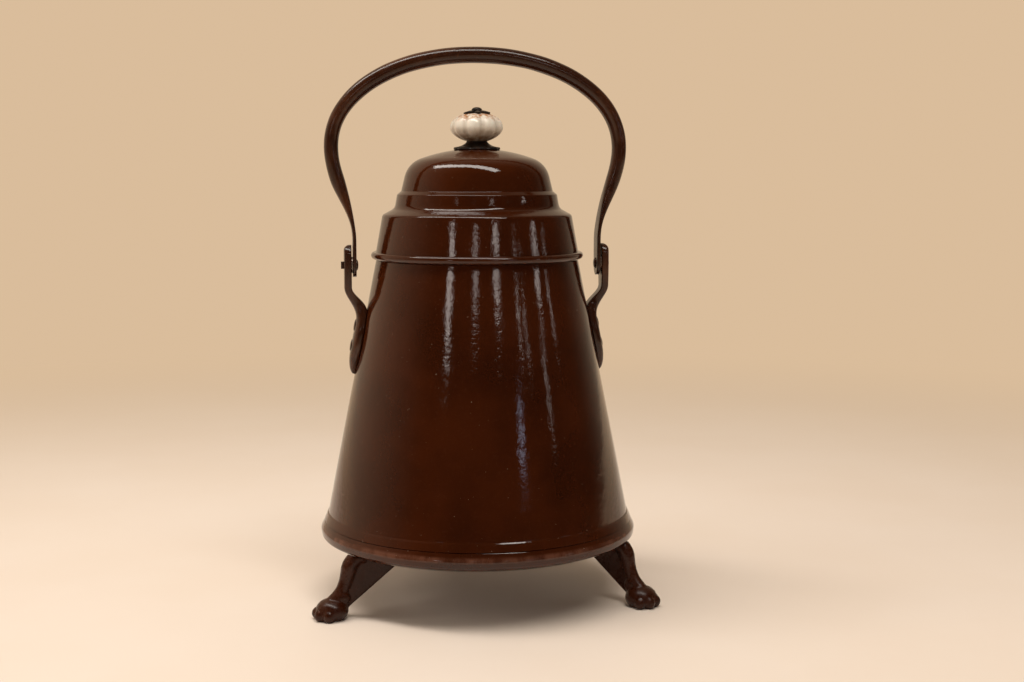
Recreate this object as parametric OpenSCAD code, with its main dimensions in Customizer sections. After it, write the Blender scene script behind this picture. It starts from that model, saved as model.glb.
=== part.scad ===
// Tapered enamelled kettle on three cast paw feet, with a lift-off domed lid, a lobed
// porcelain knob and a forged swing handle (bail) that turns in two riveted ears.
// Millimetres, +Z up. The origin is on the kettle's axis, in the plane of the foot soles.
// The ears stand on the X axis and one foot points along +Y.

/* [Wall] */
// Outer radius of the wall at the crease above the base ring
wall_foot_r = 120.6; // [114:0.2:130]
// Outer radius of the wall at the lid seat
wall_top_r = 80.4; // [76:0.2:88]
// Height of the wall from the crease up to the lid seat
wall_h = 201.9; // [185:0.1:230]
// Thickness of the enamelled sheet
sheet_t = 1.6; // [1.2:0.1:2]
// Height of the bottom pan's upturned flange
pan_flange_h = 9; // [6:0.5:14]

/* [Base ring] */
// Height from the ring's lower edge up to the crease where the wall starts to flare
ring_h = 22.3; // [20:0.1:26]
// How far the ring stands out beyond the wall's crease
ring_w = 6.3; // [5:0.1:8]
// Height of the ring's widest corner above its lower edge
ring_nose_h = 9.3; // [8:0.1:11]
// Rise of the ring's sloping underside
ring_under_h = 3.7; // [2:0.1:4.5]
// Width of the ring's underside
ring_under_w = 8.9; // [8:0.1:10]
// Height of the seam between wall and ring above the ring's lower edge
ring_seam_h = 15.6; // [14.5:0.1:16.6]
// Height of the pan's underside above the ring's lower edge
pan_rise = 8.5; // [8.2:0.1:10]
// Radius of the wire rolled into the ring
base_wire_r = 1.7; // [1.2:0.1:1.8]

/* [Mouth] */
// Height of the collar above the lid seat
collar_h = 24; // [18:0.5:26]
// Gap between the collar's top and the lid's skirt
collar_gap = 1.1; // [0.8:0.1:2]
// Width of the collar's flange under the seat
collar_flange_w = 4; // [2:0.2:4.4]
// Radius of the wire rolled into the collar
mouth_wire_r = 1.4; // [1:0.1:1.6]

/* [Lid] */
// How far the lid's skirt stands out beyond the wall
lid_overhang = 1.3; // [0.8:0.1:3]
// Gap between the resting lid and its seat
seat_gap = 0.3; // [0.2:0.05:0.4]
// Radius of the rolled bead round the skirt's foot
bead_r = 2.9; // [2.4:0.1:3.6]
// Radius of the wire in the bead
lid_wire_r = 1.5; // [1:0.1:1.6]
// Width of the hem turned in at the skirt's foot
hem_w = 4.2; // [3.6:0.1:5]
// Height of the skirt
skirt_h = 34.9; // [32:0.1:42]
// How far the skirt draws in from its foot to the shoulder
skirt_taper = 6.4; // [4:0.1:9]
// Width of the sloping shoulder
shoulder_w = 9.8; // [8:0.1:13]
// Rise of the sloping shoulder
shoulder_rise = 5.3; // [4:0.1:7]
// Height of the step's wall
step_h = 10.7; // [9:0.1:14]
// How far the step's wall draws in
step_taper = 1.9; // [1:0.1:3]
// Width of the ledge under the dome
ledge_w = 3.3; // [2.8:0.1:5]
// Rise of the ledge under the dome
ledge_rise = 2.7; // [2:0.1:4]
// Height of the dome's side
dome_h = 22; // [18:0.1:30]
// How far the dome's side draws in
dome_taper = 5.4; // [3:0.1:8]
// Radius of the dome's rounded corner
dome_corner_r = 20; // [12:0.5:20]
// Width of the sloping band between the dome's corner and its crown
crown_in = 10.9; // [10.8:0.1:14]
// Rise of the crown at its centre
crown_rise = 7.6; // [5:0.1:11]

/* [Knob] */
// Radius of the knob's flared iron base
knob_base_r = 18.6; // [16:0.1:22]
// Radius of the base's neck
knob_neck_r = 8.2; // [7:0.1:10]
// Height of the base above its foot
knob_base_h = 6.7; // [5:0.1:9]
// Radius of the porcelain knob across its lobes
knob_r = 21.2; // [18:0.1:24]
// Height of the knob below its widest line
knob_under_h = 10.6; // [8:0.1:14]
// Height of the knob above its widest line
knob_over_h = 11.6; // [9:0.1:15]
// Number of lobes
knob_lobes = 9; // [7:1:12]
// Depth of the grooves between the lobes
knob_groove = 1.5; // [0.8:0.1:2.4]
// Reach of the cap's leaves
cap_r = 9.8; // [8:0.1:12]
// Height of the cap
cap_h = 2.8; // [2:0.1:4]
// Number of leaves on the cap
cap_leaves = 6; // [5:1:8]
// Radius of the knob's screw
screw_r = 2.5; // [2:0.1:3]
// Radius of the washer under the dome
knob_washer_r = 8; // [7:0.2:10]
// Thickness of the washer under the dome
knob_washer_t = 1.2; // [0.8:0.1:1.6]
// Distance across the corners of the nut
nut_corners = 9.2; // [8:0.1:11]
// Thickness of the nut
nut_t = 4; // [3:0.1:5]

/* [Ears] */
// Drop from the lid seat to the handle's pivots
pivot_drop = 4.4; // [0:0.1:10]
// Gap between the wall and the handle's ends at the pivots
ear_gap = 14.8; // [13:0.1:20]
// Thickness of the ear's strap
ear_t = 6; // [4:0.1:7]
// Thickness of the leaf plate on the wall
leaf_t = 7.2; // [5:0.1:8]
// Half width of the strap at the pivot
strap_half_w = 8.5; // [7.5:0.1:10]
// Half width of the neck
neck_half_w = 6.2; // [5:0.1:7.4]
// Half width of the leaf plate
leaf_half_w = 13; // [11:0.1:16]
// Length of the ear above the pivot
ear_top_h = 16; // [14:0.1:20]
// Length of the ear below the pivot
ear_drop = 87; // [84:0.5:105]
// Depth of the upper rivet below the pivot
upper_rivet_drop = 49; // [46:0.5:54]
// Distance between the two rivets
rivet_spacing = 16; // [14:0.5:20]
// Radius of the ear rivets
rivet_r = 2.4; // [2:0.1:3]
// Height of the ear rivets' low heads
rivet_head_h = 0.9; // [0.6:0.1:2]
// Radius of the pivot pins
pin_r = 3; // [2.4:0.1:3.4]
// Height of the left pin's square head
left_head_h = 2.3; // [2:0.1:4]
// Height of the right pin's low head
right_head_h = 1; // [1:0.1:3]
// Thickness of the pivot washers
pivot_washer_t = 0.8; // [0.6:0.1:1.2]

/* [Handle] */
// Room between the knob's cap and the underside of the handle
handle_room = 34.2; // [33:0.1:60]
// Thickness of the handle at its crown
crown_t = 12.8; // [10:0.1:15]
// Depth of the handle at its crown, front to back
crown_d = 15; // [12:0.1:18]
// Thickness of the handle at its sides
side_t = 11.3; // [9:0.1:13]
// How far the handle bows out beyond its ends
handle_bow = 17.2; // [12:0.1:24]
// Drop from the crown to the handle's widest level
crown_drop = 72.3; // [66:0.1:84]
// Fullness of the crown's curve, 2 for an ellipse
crown_power = 2.07; // [2:0.01:2.3]
// Thickness of the flattened ends
strip_t = 3; // [2.6:0.1:4]
// Width of the flattened ends
strip_w = 17; // [14:0.1:18]
// Running clearance of the handle on its pins
pin_clearance = 0.08; // [0.05:0.01:0.1]
// Side play of the handle's ends between washer and pin head
side_play = 0.15; // [0.1:0.05:0.3]

/* [Feet] */
// Height of the base ring above the table
foot_h = 45.2; // [40:0.1:54]
// Distance from the ring's outer edge to the middle of the paw
paw_reach = 13.1; // [10:0.1:18]
// Turn of each foot about its paw, out of the radial direction
foot_twist = -16; // [-20:1:20]
// Radius of the paw's pad
pad_r = 13; // [11:0.1:15]
// Radius of the toes
toe_r = 5.4; // [4.6:0.1:6]
// Radius of the leg's rounded spine
spine_r = 6; // [5:0.1:7]
// Thickness of the flat web behind the spine
web_t = 7; // [5:0.1:9]
// Slope of the web's inner edge, in degrees
web_slope = 37; // [35:0.5:42]
// Length of the flange under the pan
flange_l = 53; // [50:0.5:56]
// Width of the flange under the pan
flange_w = 38; // [34:0.5:44]
// Thickness of the flange under the pan
flange_t = 4; // [3:0.1:5]
// Distance between the two rivets of a foot
foot_rivet_spacing = 25; // [24:0.5:28]
// Radius of the foot rivets
foot_rivet_r = 2.5; // [2:0.1:3]
// Height of the foot rivets' heads
foot_rivet_head_h = 2; // [1:0.1:2.4]

/* [Hidden] */
$fn = 96;

// Colours
enamel = "#4a1d12";
iron = "#241913";
cast_brown = "#3d1a10";
steel = "#8a8781";
porcelain = "#efe6d3";

// Small clearances between pieces of one body
hole_gap = 0.05;
head_seat = 0.15;
// Depth by which a cutting tool passes a face
cut = 1;

// Heights up the axis
pan_z = foot_h + pan_rise;
crease_z = foot_h + ring_h;
seat_z = crease_z + wall_h;
pivot_z = seat_z - pivot_drop;
lid_z = seat_z + seat_gap;
collar_top_z = seat_z + collar_h;

// The wall is a straight cone
taper = (wall_foot_r - wall_top_r) / wall_h;
taper_angle = atan(taper);
sheet_across = sheet_t / cos(taper_angle);
function wall_r(z) = wall_foot_r - taper * (z - crease_z);

// Outer line of the wall and its base ring, from the lid seat down to the ring's underside
cove_fillet_r = 25;
nose_fillet = 4.5;
under_fillet = 3;
// How far the ring draws in below its widest corner
nose_lean = 0.7;
// Enamelled iron left outside the ring's wire
ring_wire_cover = 2.1;
// Depth of the ring's wire below the pan
ring_wire_drop = 1;
ring_r = wall_foot_r + ring_w;
ring_in_r = ring_r - ring_under_w;
cove_corner_z = crease_z - cove_fillet_r * tan(taper_angle);
seam_z = foot_h + ring_seam_h;
outer_line = rounded([
    [wall_top_r, seat_z, 0], [wall_r(cove_corner_z), cove_corner_z, cove_fillet_r],
    [ring_r, foot_h + ring_nose_h, nose_fillet],
    [ring_r - nose_lean, foot_h + ring_under_h, under_fillet],
    [ring_in_r, foot_h, 0]
]);
// Radius of the outer line at the seam
seam_r = lookup(seam_z, [for (p = outer_line) [p.y, p.x]]);
base_wire_x = ring_r - base_wire_r - ring_wire_cover;
base_wire_z = pan_z - base_wire_r - ring_wire_drop;

// Lid outline, from the skirt's foot up to the crown
lid_foot_r = wall_top_r + lid_overhang;
shoulder_r = lid_foot_r - skirt_taper;
cove_r = shoulder_r - shoulder_w;
step_r = cove_r - step_taper;
dome_r = step_r - ledge_w;
dome_top_r = dome_r - dome_taper;
crown_r = dome_top_r - crown_in;
shoulder_z = lid_z + skirt_h;
cove_z = shoulder_z + shoulder_rise;
step_z = cove_z + step_h;
dome_z = step_z + ledge_rise;
crown_sphere_r = (crown_r * crown_r + crown_rise * crown_rise) / (2 * crown_rise);
crown_angle = asin(crown_r / crown_sphere_r);
dome_top_z = dome_z + dome_h;
crown_edge_z = dome_top_z + tan(crown_angle) * crown_in;
crown_z = crown_edge_z + crown_rise;
shoulder_fillet = 3.5;
cove_fillet = 6;
step_fillet = 1.2;
ledge_fillet = 1;
// Outer line of the lid, from the skirt's foot to the middle of the crown
lid_line = concat(
    rounded([
        [lid_foot_r, lid_z, 0], [shoulder_r, shoulder_z, shoulder_fillet],
        [cove_r, cove_z, cove_fillet], [step_r, step_z, step_fillet],
        [dome_r, dome_z, ledge_fillet], [dome_top_r, dome_top_z, dome_corner_r],
        [crown_r, crown_edge_z, 0]
    ]),
    [for (i = [1:10])
        let (a = crown_angle * (1 - i / 10))
        [crown_sphere_r * sin(a), crown_z - crown_sphere_r * (1 - cos(a))]]
);
function skirt_r(z) = lid_foot_r - skirt_taper * (z - lid_z) / skirt_h;
function crown_height(r) = crown_z - crown_sphere_r + sqrt(crown_sphere_r * crown_sphere_r - r * r);

// Collar
collar_r = skirt_r(collar_top_z) - sheet_across - collar_gap;
mouth_roll_t = 0.9;
mouth_roll_r = mouth_wire_r + mouth_roll_t;

// Stack of pieces on the knob's screw
knob_foot_z = crown_height(knob_base_r);
knob_z = knob_foot_z + knob_base_h;
knob_wide_z = knob_z + knob_under_h;
knob_top_z = knob_wide_z + knob_over_h;
cap_sink = 0.6;
cap_z = knob_top_z - cap_sink;
cap_droop = 1.3;
leaf_notch = 0.58;
// Turn of the knob on its screw
knob_turn = 15;
cap_tip_t = 0.9;
cap_under_r = (cap_r * cap_r + cap_droop * cap_droop) / (2 * cap_droop);
screw_head_h = 2.4;
screw_head_r = 4.2;
cap_top_z = cap_z + cap_h;
cap_fall = cap_h + cap_droop - cap_tip_t;
cap_over_r = (cap_r * cap_r + cap_fall * cap_fall) / (2 * cap_fall);
screw_top_z = cap_top_z + screw_head_h;
under_dome_z = crown_height(knob_washer_r) - sheet_t / cos(crown_angle);
washer_z = under_dome_z - knob_washer_t;
nut_z = washer_z - nut_t;
screw_end = 1.5;

// Handle and pivots, on the +X side
strip_in_x = wall_r(pivot_z) + ear_gap;
strip_mid_x = strip_in_x + strip_t / 2;
strip_out_x = strip_in_x + strip_t;
washer_x = strip_out_x + side_play;
ear_in_x = washer_x + pivot_washer_t;
ear_out_x = ear_in_x + ear_t;
pin_tail_x = strip_in_x - side_play;
pin_tail_h = 1.4;
pin_head_r = 4.4;
handle_z = screw_top_z + handle_room + crown_t / 2;
wide_z = handle_z - crown_drop;
// Heights above the pivots: straight to leg_h, then bowed out, and swelling from thin_h to thick_h
leg_h = 19;
thin_h = 27;
thick_h = 70;
leg_z = pivot_z + leg_h;
thin_z = pivot_z + thin_h;
thick_z = pivot_z + thick_h;
// The flattened ends reach from the round tail up to the bar's own flat
flat_top = 7;
tail_drop = 1;
// Squareness of the bar's section, 2 for an ellipse
strip_squareness = 6;
bar_squareness = 2.2;

// Depths below the pivot: the strap bends in between bend_top and bend_foot, on its inside earlier
rivet_margin = 0.4;
bend_lead = 7;
leaf_shoulder_drop = 14;
bend_top = 18;
bend_foot = upper_rivet_drop - 2 * rivet_r - rivet_margin;
inner_bend_foot = bend_foot - bend_lead;
leaf_shoulder = bend_foot + leaf_shoulder_drop;
// Length over which the leaf plate thins out to its tip
leaf_taper_h = 20;
// Radius that rounds the strap's top on its outside
strap_round_r = 4.6;
// Ear outline: [height from the pivot, half width], from the top down
neck_top = -bend_top - 9;
neck_foot = 8 - bend_foot;
neck_foot_half_w = neck_half_w + 1.5;
leaf_start = 10 - leaf_shoulder;
leaf_full = 0.93;
tip_half = 0.5;
tip_length = 0.4;
ear_outline = concat(
    [for (a = [90, 60, 30, 0]) [ear_top_h - strap_half_w * (1 - sin(a)), strap_half_w * cos(a)]],
    [
        [-strap_half_w, strap_half_w], [neck_top, neck_half_w], [neck_foot, neck_foot_half_w],
        [leaf_start, leaf_full * leaf_half_w], [-leaf_shoulder, leaf_half_w],
        [leaf_taper_h - ear_drop, leaf_full * leaf_half_w],
        [tip_length * leaf_taper_h - ear_drop, tip_half * leaf_half_w], [-ear_drop, 0]
    ]
);
rivet_drops = [upper_rivet_drop, upper_rivet_drop + rivet_spacing];

// Feet, each in its own place with +X outward: x from the middle of the paw
foot_azimuths = [90, 210, 330];
flange_inset = 3;
paw_r = ring_r + paw_reach;
flange_out_x = ring_in_r - flange_inset - paw_r;
flange_mid_x = flange_out_x - flange_l / 2;
flange_z = pan_z - flange_t;
foot_rivet_head_r = 1.8 * foot_rivet_r;
under_gap = 0.2;
pad_z = 6.6;
pad_half_h = 9.8;
toe_in = 3.2;
toe_sink = 0.5;
toe_angles = [-66, -22, 22, 66];
ankle_x = -8.5;
ankle_rise = 0.34;
ankle_fullness = 1.1;
ankle_z = ankle_rise * foot_h;
ankle_r = ankle_fullness * spine_r;
web_foot_x = -13;
web_foot_z = 8;
// Spine of the leg: [x, share of the ring's height, share of the spine's radius]
spine_shape = [
    [-27, 1.03, 0.92], [-20, 1, 1], [-15.3, 0.88, 1.03], [-13.6, 0.74, 0.97],
    [-11.6, 0.6, 0.87], [-8.6, 0.45, 0.87], [-4, 0.31, 1], [1, 0.22, 1]
];

function smooth(t) = let (c = min(1, max(0, t))) c * c * (3 - 2 * c);
function mix(a, b, t) = a + (b - a) * t;
function unit(v) = v / norm(v);
function reversed(list) = [for (i = [len(list) - 1:-1:0]) list[i]];

// Arc of radius r that rounds the corner at b between a and c
function corner_arc(a, b, c, r, steps = 6) =
    let (
        u = unit(a - b),
        v = unit(c - b),
        half = acos(u * v) / 2,
        centre = b + unit(u + v) * r / sin(half),
        from = b + u * r / tan(half) - centre,
        to = b + v * r / tan(half) - centre,
        start = atan2(from.y, from.x),
        turn = (atan2(to.y, to.x) - start + 540) % 360 - 180
    )
    [for (i = [0:steps]) centre + r * [cos(start + turn * i / steps), sin(start + turn * i / steps)]];

// Open line through [x, y, fillet radius] points, with its corners rounded
function rounded(line) = [
    for (i = [0:len(line) - 1])
        let (p = [line[i].x, line[i].y])
        each (line[i].z == 0
            ? [p]
            : corner_arc([line[i - 1].x, line[i - 1].y], p, [line[i + 1].x, line[i + 1].y], line[i].z))
];

// The same line moved by d to its left
function beside(line, d) = [
    for (i = [0:len(line) - 1])
        let (t = unit(line[min(i + 1, len(line) - 1)] - line[max(i - 1, 0)]))
        line[i] + d * [-t.y, t.x]
];

// Smooth curve through points, by Catmull-Rom
function between(p0, p1, p2, p3, t) =
    (2 * p1 + (p2 - p0) * t + (2 * p0 - 5 * p1 + 4 * p2 - p3) * t * t
        + (3 * p1 - p0 - 3 * p2 + p3) * t * t * t) / 2;
function curve(points, steps) =
    let (last = len(points) - 1)
    concat(
        [for (i = [0:last - 1], k = [0:steps - 1])
            between(points[max(i - 1, 0)], points[i], points[i + 1], points[min(i + 2, last)], k / steps)],
        [points[last]]
    );

// Solid through a row of equal rings of points
module skin(rings) {
    n = len(rings[0]);
    m = len(rings);
    points = [for (ring = rings) each ring];
    sides = [
        for (i = [0:m - 2], k = [0:n - 1])
            let (a = i * n + k, b = i * n + (k + 1) % n)
            each [[a, a + n, b + n], [a, b + n, b]]
    ];
    caps = [[for (k = [0:n - 1]) k], [for (k = [n - 1:-1:0]) (m - 1) * n + k]];
    polyhedron(points = points, faces = concat(sides, caps));
}

// Ring of a bar that runs along d in the XZ plane: half thickness a, half depth b
function bar_ring(p, d, a, b, sides, squareness = 2) =
    let (e = [d.y, 0, -d.x])
    [for (k = [0:sides - 1])
        let (
            angle = 360 * k / sides,
            c = sign(cos(angle)) * pow(abs(cos(angle)), 2 / squareness),
            s = sign(sin(angle)) * pow(abs(sin(angle)), 2 / squareness)
        )
        [p.x, 0, p.y] + a * c * e + [0, b * s, 0]];

// Low dome for rivet and screw heads, standing on z = 0
module dome_head(r, h) {
    steps = 8;
    side = [for (i = [0:steps]) [r * cos(90 * i / steps), h * sin(90 * i / steps)]];
    rotate_extrude() polygon(concat([[0, 0]], side));
}

// Rivet with its shank from z = 0 up to its grip, and a head at each end
module rivet(r, grip, head_r, head_h) {
    cylinder(r = r, h = grip);
    translate([0, 0, grip]) dome_head(head_r, head_h);
    rotate([180, 0, 0]) dome_head(head_r, head_h);
}

// The wall's outer surface as a solid cone
module wall_cone() {
    translate([0, 0, pan_z])
        cylinder(r1 = wall_r(pan_z), r2 = wall_top_r, h = seat_z - pan_z);
}

// Places children at an ear rivet, with +Z out along the wall's normal
module at_ear_rivet(drop) {
    z = pivot_z - drop;
    translate([wall_r(z), 0, z]) rotate([0, 90 - taper_angle, 0]) children();
}

// Places children at the paw of the foot at an azimuth
module at_foot(azimuth) {
    rotate(azimuth) translate([paw_r, 0, 0]) rotate(foot_twist) children();
}

// Places children at the rivets of the foot at an azimuth
module at_foot_rivets(azimuth) {
    for (side = [-1, 1])
        at_foot(azimuth) translate([flange_mid_x, side * foot_rivet_spacing / 2, flange_z]) children();
}

module ear_rivet_bores() {
    reach = leaf_t + sheet_t + 4 * cut;
    for (side = [0, 180], drop = rivet_drops)
        rotate(side) at_ear_rivet(drop)
            translate([0, 0, -reach / 2]) cylinder(r = rivet_r + hole_gap, h = 2 * reach);
}

module foot_rivet_bores() {
    for (azimuth = foot_azimuths)
        at_foot_rivets(azimuth) translate([0, 0, -cut])
            cylinder(r = foot_rivet_r + hole_gap, h = flange_t + sheet_t + 2 * cut);
}

// The wall flares out to the seam, and inside the ring it goes on down to the pan
module body_shell() {
    under_seat_z = seat_z - sheet_t;
    flare = [for (p = outer_line) if (p.y > seam_z) p];
    pan_r = wall_r(pan_z) - sheet_across;
    seat_r = wall_r(under_seat_z) - sheet_across;
    color(enamel) difference() {
        rotate_extrude()
            polygon(concat(
                flare,
                [[seam_r, seam_z], [wall_r(seam_z), seam_z], [wall_r(pan_z), pan_z]],
                [[pan_r, pan_z], [seat_r, under_seat_z], [collar_r, under_seat_z], [collar_r, seat_z]]
            ));
        ear_rivet_bores();
    }
}

module bottom_pan() {
    pan_r = wall_r(pan_z) - sheet_across;
    flange_r = wall_r(pan_z + pan_flange_h) - sheet_across;
    color(enamel) difference() {
        rotate_extrude()
            polygon([
                [0, pan_z], [pan_r, pan_z], [flange_r, pan_z + pan_flange_h],
                [flange_r - sheet_t, pan_z + pan_flange_h],
                [pan_r - taper * sheet_t - sheet_t, pan_z + sheet_t], [0, pan_z + sheet_t]
            ]);
        foot_rivet_bores();
    }
}

module neck_collar() {
    under_seat_z = seat_z - sheet_t;
    roll_x = collar_r - mouth_roll_r;
    roll_z = collar_top_z - mouth_roll_r;
    color(enamel) rotate_extrude() difference() {
        union() {
            translate([collar_r - sheet_t, under_seat_z - sheet_t])
                square([sheet_t, roll_z - under_seat_z + sheet_t]);
            translate([collar_r - sheet_t, under_seat_z - sheet_t])
                square([collar_flange_w + sheet_t, sheet_t]);
            translate([roll_x, roll_z]) circle(r = mouth_roll_r);
        }
        translate([roll_x, roll_z]) circle(r = mouth_wire_r + hole_gap);
    }
}

module ring_wire(x, z, r) {
    color(steel) rotate_extrude() translate([x, z]) circle(r = r, $fn = 32);
}

module mouth_wire() {
    ring_wire(collar_r - mouth_roll_r, collar_top_z - mouth_roll_r, mouth_wire_r);
}

module base_wire() {
    ring_wire(base_wire_x, base_wire_z, base_wire_r);
}

module base_ring() {
    nose = [for (p = outer_line) if (p.y < seam_z) p];
    color(enamel) rotate_extrude() difference() {
        polygon(concat(
            [[wall_r(pan_z), pan_z], [wall_r(seam_z), seam_z], [seam_r, seam_z]],
            nose,
            [[ring_in_r, pan_z]]
        ));
        translate([base_wire_x, base_wire_z]) circle(r = base_wire_r + hole_gap, $fn = 32);
    }
}

// Ear on the +X side: a bent strap whose lower end is a leaf plate on the wall
module ear() {
    steps = 14;
    top_z = pivot_z + ear_top_h;
    round_z = top_z - strap_round_r;
    leaf_z = pivot_z - bend_foot;
    heights = concat(
        [for (i = [0:steps]) mix(round_z, leaf_z, i / steps)],
        [for (i = [1:steps]) mix(leaf_z, pivot_z - ear_drop, i / steps)]
    );
    bend_at = function (z, foot) smooth((z - pivot_z + foot) / (foot - bend_top));
    leaf_at = function (z)
        let (t = min(1, (z - pivot_z + ear_drop) / leaf_taper_h))
        leaf_t * sqrt(max(0, 1 - (1 - t) * (1 - t)));
    round_x = ear_out_x - strap_round_r;
    crest = [for (a = [0:15:75]) [round_x + strap_round_r * sin(a), round_z + strap_round_r * cos(a)]];
    outer = [for (z = heights) [mix(wall_r(z) + leaf_at(z), ear_out_x, bend_at(z, bend_foot)), z]];
    inner = [for (z = heights) [mix(wall_r(z) - cut, ear_in_x, bend_at(z, inner_bend_foot)), z]];
    outline = curve(ear_outline, 4);
    face = concat(
        [for (p = outline) [p.y, pivot_z + p.x]],
        [for (i = [len(outline) - 2:-1:1]) [-outline[i].y, pivot_z + outline[i].x]]
    );
    color(iron) difference() {
        intersection() {
            rotate([90, 0, 0]) linear_extrude(4 * leaf_half_w, center = true)
                polygon(concat(crest, outer, reversed(inner), [[ear_in_x, top_z]]));
            rotate([90, 0, 90]) linear_extrude(2 * ear_out_x) polygon(face);
        }
        wall_cone();
        ear_rivet_bores();
        translate([ear_in_x - cut, 0, pivot_z]) rotate([0, 90, 0])
            cylinder(r = pin_r + hole_gap, h = ear_t + 2 * cut);
    }
}

module right_ear() {
    ear();
}

module left_ear() {
    rotate(180) ear();
}

module ear_rivets() {
    leaf_across = leaf_t * cos(taper_angle);
    back = sheet_t + head_seat;
    color(iron) for (drop = rivet_drops)
        at_ear_rivet(drop)
            translate([0, 0, -back]) rivet(rivet_r, back + leaf_across, 2 * rivet_r, rivet_head_h);
}

module right_ear_rivets() {
    ear_rivets();
}

module left_ear_rivets() {
    rotate(180) ear_rivets();
}

// Pin on the +X side without its outer head: shank and peened tail
module pivot_shank() {
    translate([pin_tail_x, 0, pivot_z]) {
        rotate([0, 90, 0]) cylinder(r = pin_r, h = ear_out_x - pin_tail_x);
        rotate([0, -90, 0]) dome_head(pin_head_r, pin_tail_h);
    }
}

module right_pivot_pin() {
    color(iron) {
        pivot_shank();
        translate([ear_out_x, 0, pivot_z]) rotate([0, 90, 0]) dome_head(pin_head_r, right_head_h);
    }
}

module left_pivot_pin() {
    head_w = 5.6;
    color(iron) rotate(180) {
        pivot_shank();
        translate([ear_out_x, -head_w / 2, pivot_z - head_w / 2]) cube([left_head_h, head_w, head_w]);
    }
}

module pivot_washer() {
    washer_r = 6.4;
    color(steel) translate([washer_x, 0, pivot_z]) rotate([0, 90, 0]) difference() {
        cylinder(r = washer_r, h = pivot_washer_t);
        translate([0, 0, -cut]) cylinder(r = pin_r + hole_gap, h = pivot_washer_t + 2 * cut);
    }
}

module right_pivot_washer() {
    pivot_washer();
}

module left_pivot_washer() {
    rotate(180) pivot_washer();
}

// Space that the feet have: under the ring's sloping underside and under the pan inside it
module under_kettle() {
    reach = 2 * paw_r;
    slope = ring_under_h / (ring_r - ring_in_r);
    rotate_extrude()
        polygon([
            [0, 0], [reach, 0], [reach, foot_h - under_gap + slope * (reach - ring_in_r)],
            [ring_in_r, foot_h - under_gap], [ring_in_r - under_gap, foot_h - under_gap],
            [ring_in_r - under_gap, pan_z], [0, pan_z]
        ]);
}

// Round spine that bends from the ring down to the paw, with the flat web behind it
module leg() {
    spine = curve([for (s = spine_shape) [s[0], foot_h * s[1], spine_r * s[2]]], 4);
    last = len(spine) - 1;
    spine_sides = 14;
    heading = [
        for (i = [0:last])
            let (d = spine[min(i + 1, last)] - spine[max(i - 1, 0)])
            unit([d.x, d.y])
    ];
    web_top_z = flange_z + cut;
    web_top_x = web_foot_x - (web_top_z - web_foot_z) / tan(web_slope);
    web_start = 2;
    skin([for (i = [0:last]) bar_ring(spine[i], heading[i], spine[i].z, spine[i].z, spine_sides)]);
    rotate([90, 0, 0]) linear_extrude(web_t, center = true)
        polygon(concat(
            [[web_top_x, web_top_z], [spine[web_start].x, web_top_z]],
            [for (i = [web_start:last]) [spine[i].x, spine[i].y]],
            [[0, web_foot_z], [web_foot_x, web_foot_z]]
        ));
}

// Pad on the table with a fan of toes round its front
module paw() {
    steps = 12;
    intersection() {
        translate([0, 0, pad_z]) {
            rotate_extrude($fn = 64)
                polygon([for (i = [0:steps])
                    let (a = 180 * i / steps - 90)
                    [pad_r * cos(a), pad_half_h * sin(a)]]);
            for (a = toe_angles)
                rotate(a) translate([pad_r - toe_in, 0, toe_r - toe_sink - pad_z])
                    sphere(r = toe_r, $fn = 48);
        }
        translate([-flange_w, -flange_w, 0]) cube([2 * flange_w, 2 * flange_w, foot_h]);
    }
}

// Foot in its own place: riveted flange, leg, ankle boss and paw
module foot(azimuth) {
    color(cast_brown) difference() {
        intersection() {
            at_foot(azimuth) {
                translate([flange_mid_x - flange_l / 2, -flange_w / 2, flange_z])
                    cube([flange_l, flange_w, flange_t]);
                leg();
                translate([ankle_x, 0, ankle_z]) sphere(r = ankle_r, $fn = 48);
                paw();
            }
            under_kettle();
        }
        at_foot_rivets(azimuth)
            translate([0, 0, -cut]) cylinder(r = foot_rivet_r + hole_gap, h = flange_t + 2 * cut);
    }
}

module foot_back() {
    foot(foot_azimuths[0]);
}

module foot_front_left() {
    foot(foot_azimuths[1]);
}

module foot_front_right() {
    foot(foot_azimuths[2]);
}

module foot_rivets(azimuth) {
    color(iron) at_foot_rivets(azimuth)
        rivet(foot_rivet_r, flange_t + sheet_t, foot_rivet_head_r, foot_rivet_head_h);
}

module foot_back_rivets() {
    foot_rivets(foot_azimuths[0]);
}

module foot_front_left_rivets() {
    foot_rivets(foot_azimuths[1]);
}

module foot_front_right_rivets() {
    foot_rivets(foot_azimuths[2]);
}

module lid_shell() {
    inner_line = beside(lid_line, sheet_t);
    last = len(inner_line) - 1;
    inner = [for (i = [0:last]) [i == last ? 0 : inner_line[i].x, inner_line[i].y]];
    color(enamel) difference() {
        rotate_extrude() difference() {
            union() {
                polygon(concat(lid_line, reversed(inner)));
                translate([lid_foot_r, lid_z + bead_r]) circle(r = bead_r);
                translate([lid_foot_r - hem_w, lid_z]) square([hem_w, sheet_t]);
            }
            translate([lid_foot_r, lid_z + bead_r]) circle(r = lid_wire_r + hole_gap, $fn = 32);
        }
        translate([0, 0, washer_z]) cylinder(r = screw_r + hole_gap, h = crown_z - washer_z + cut);
    }
}

module lid_rim_wire() {
    ring_wire(lid_foot_r, lid_z + bead_r, lid_wire_r);
}

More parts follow.
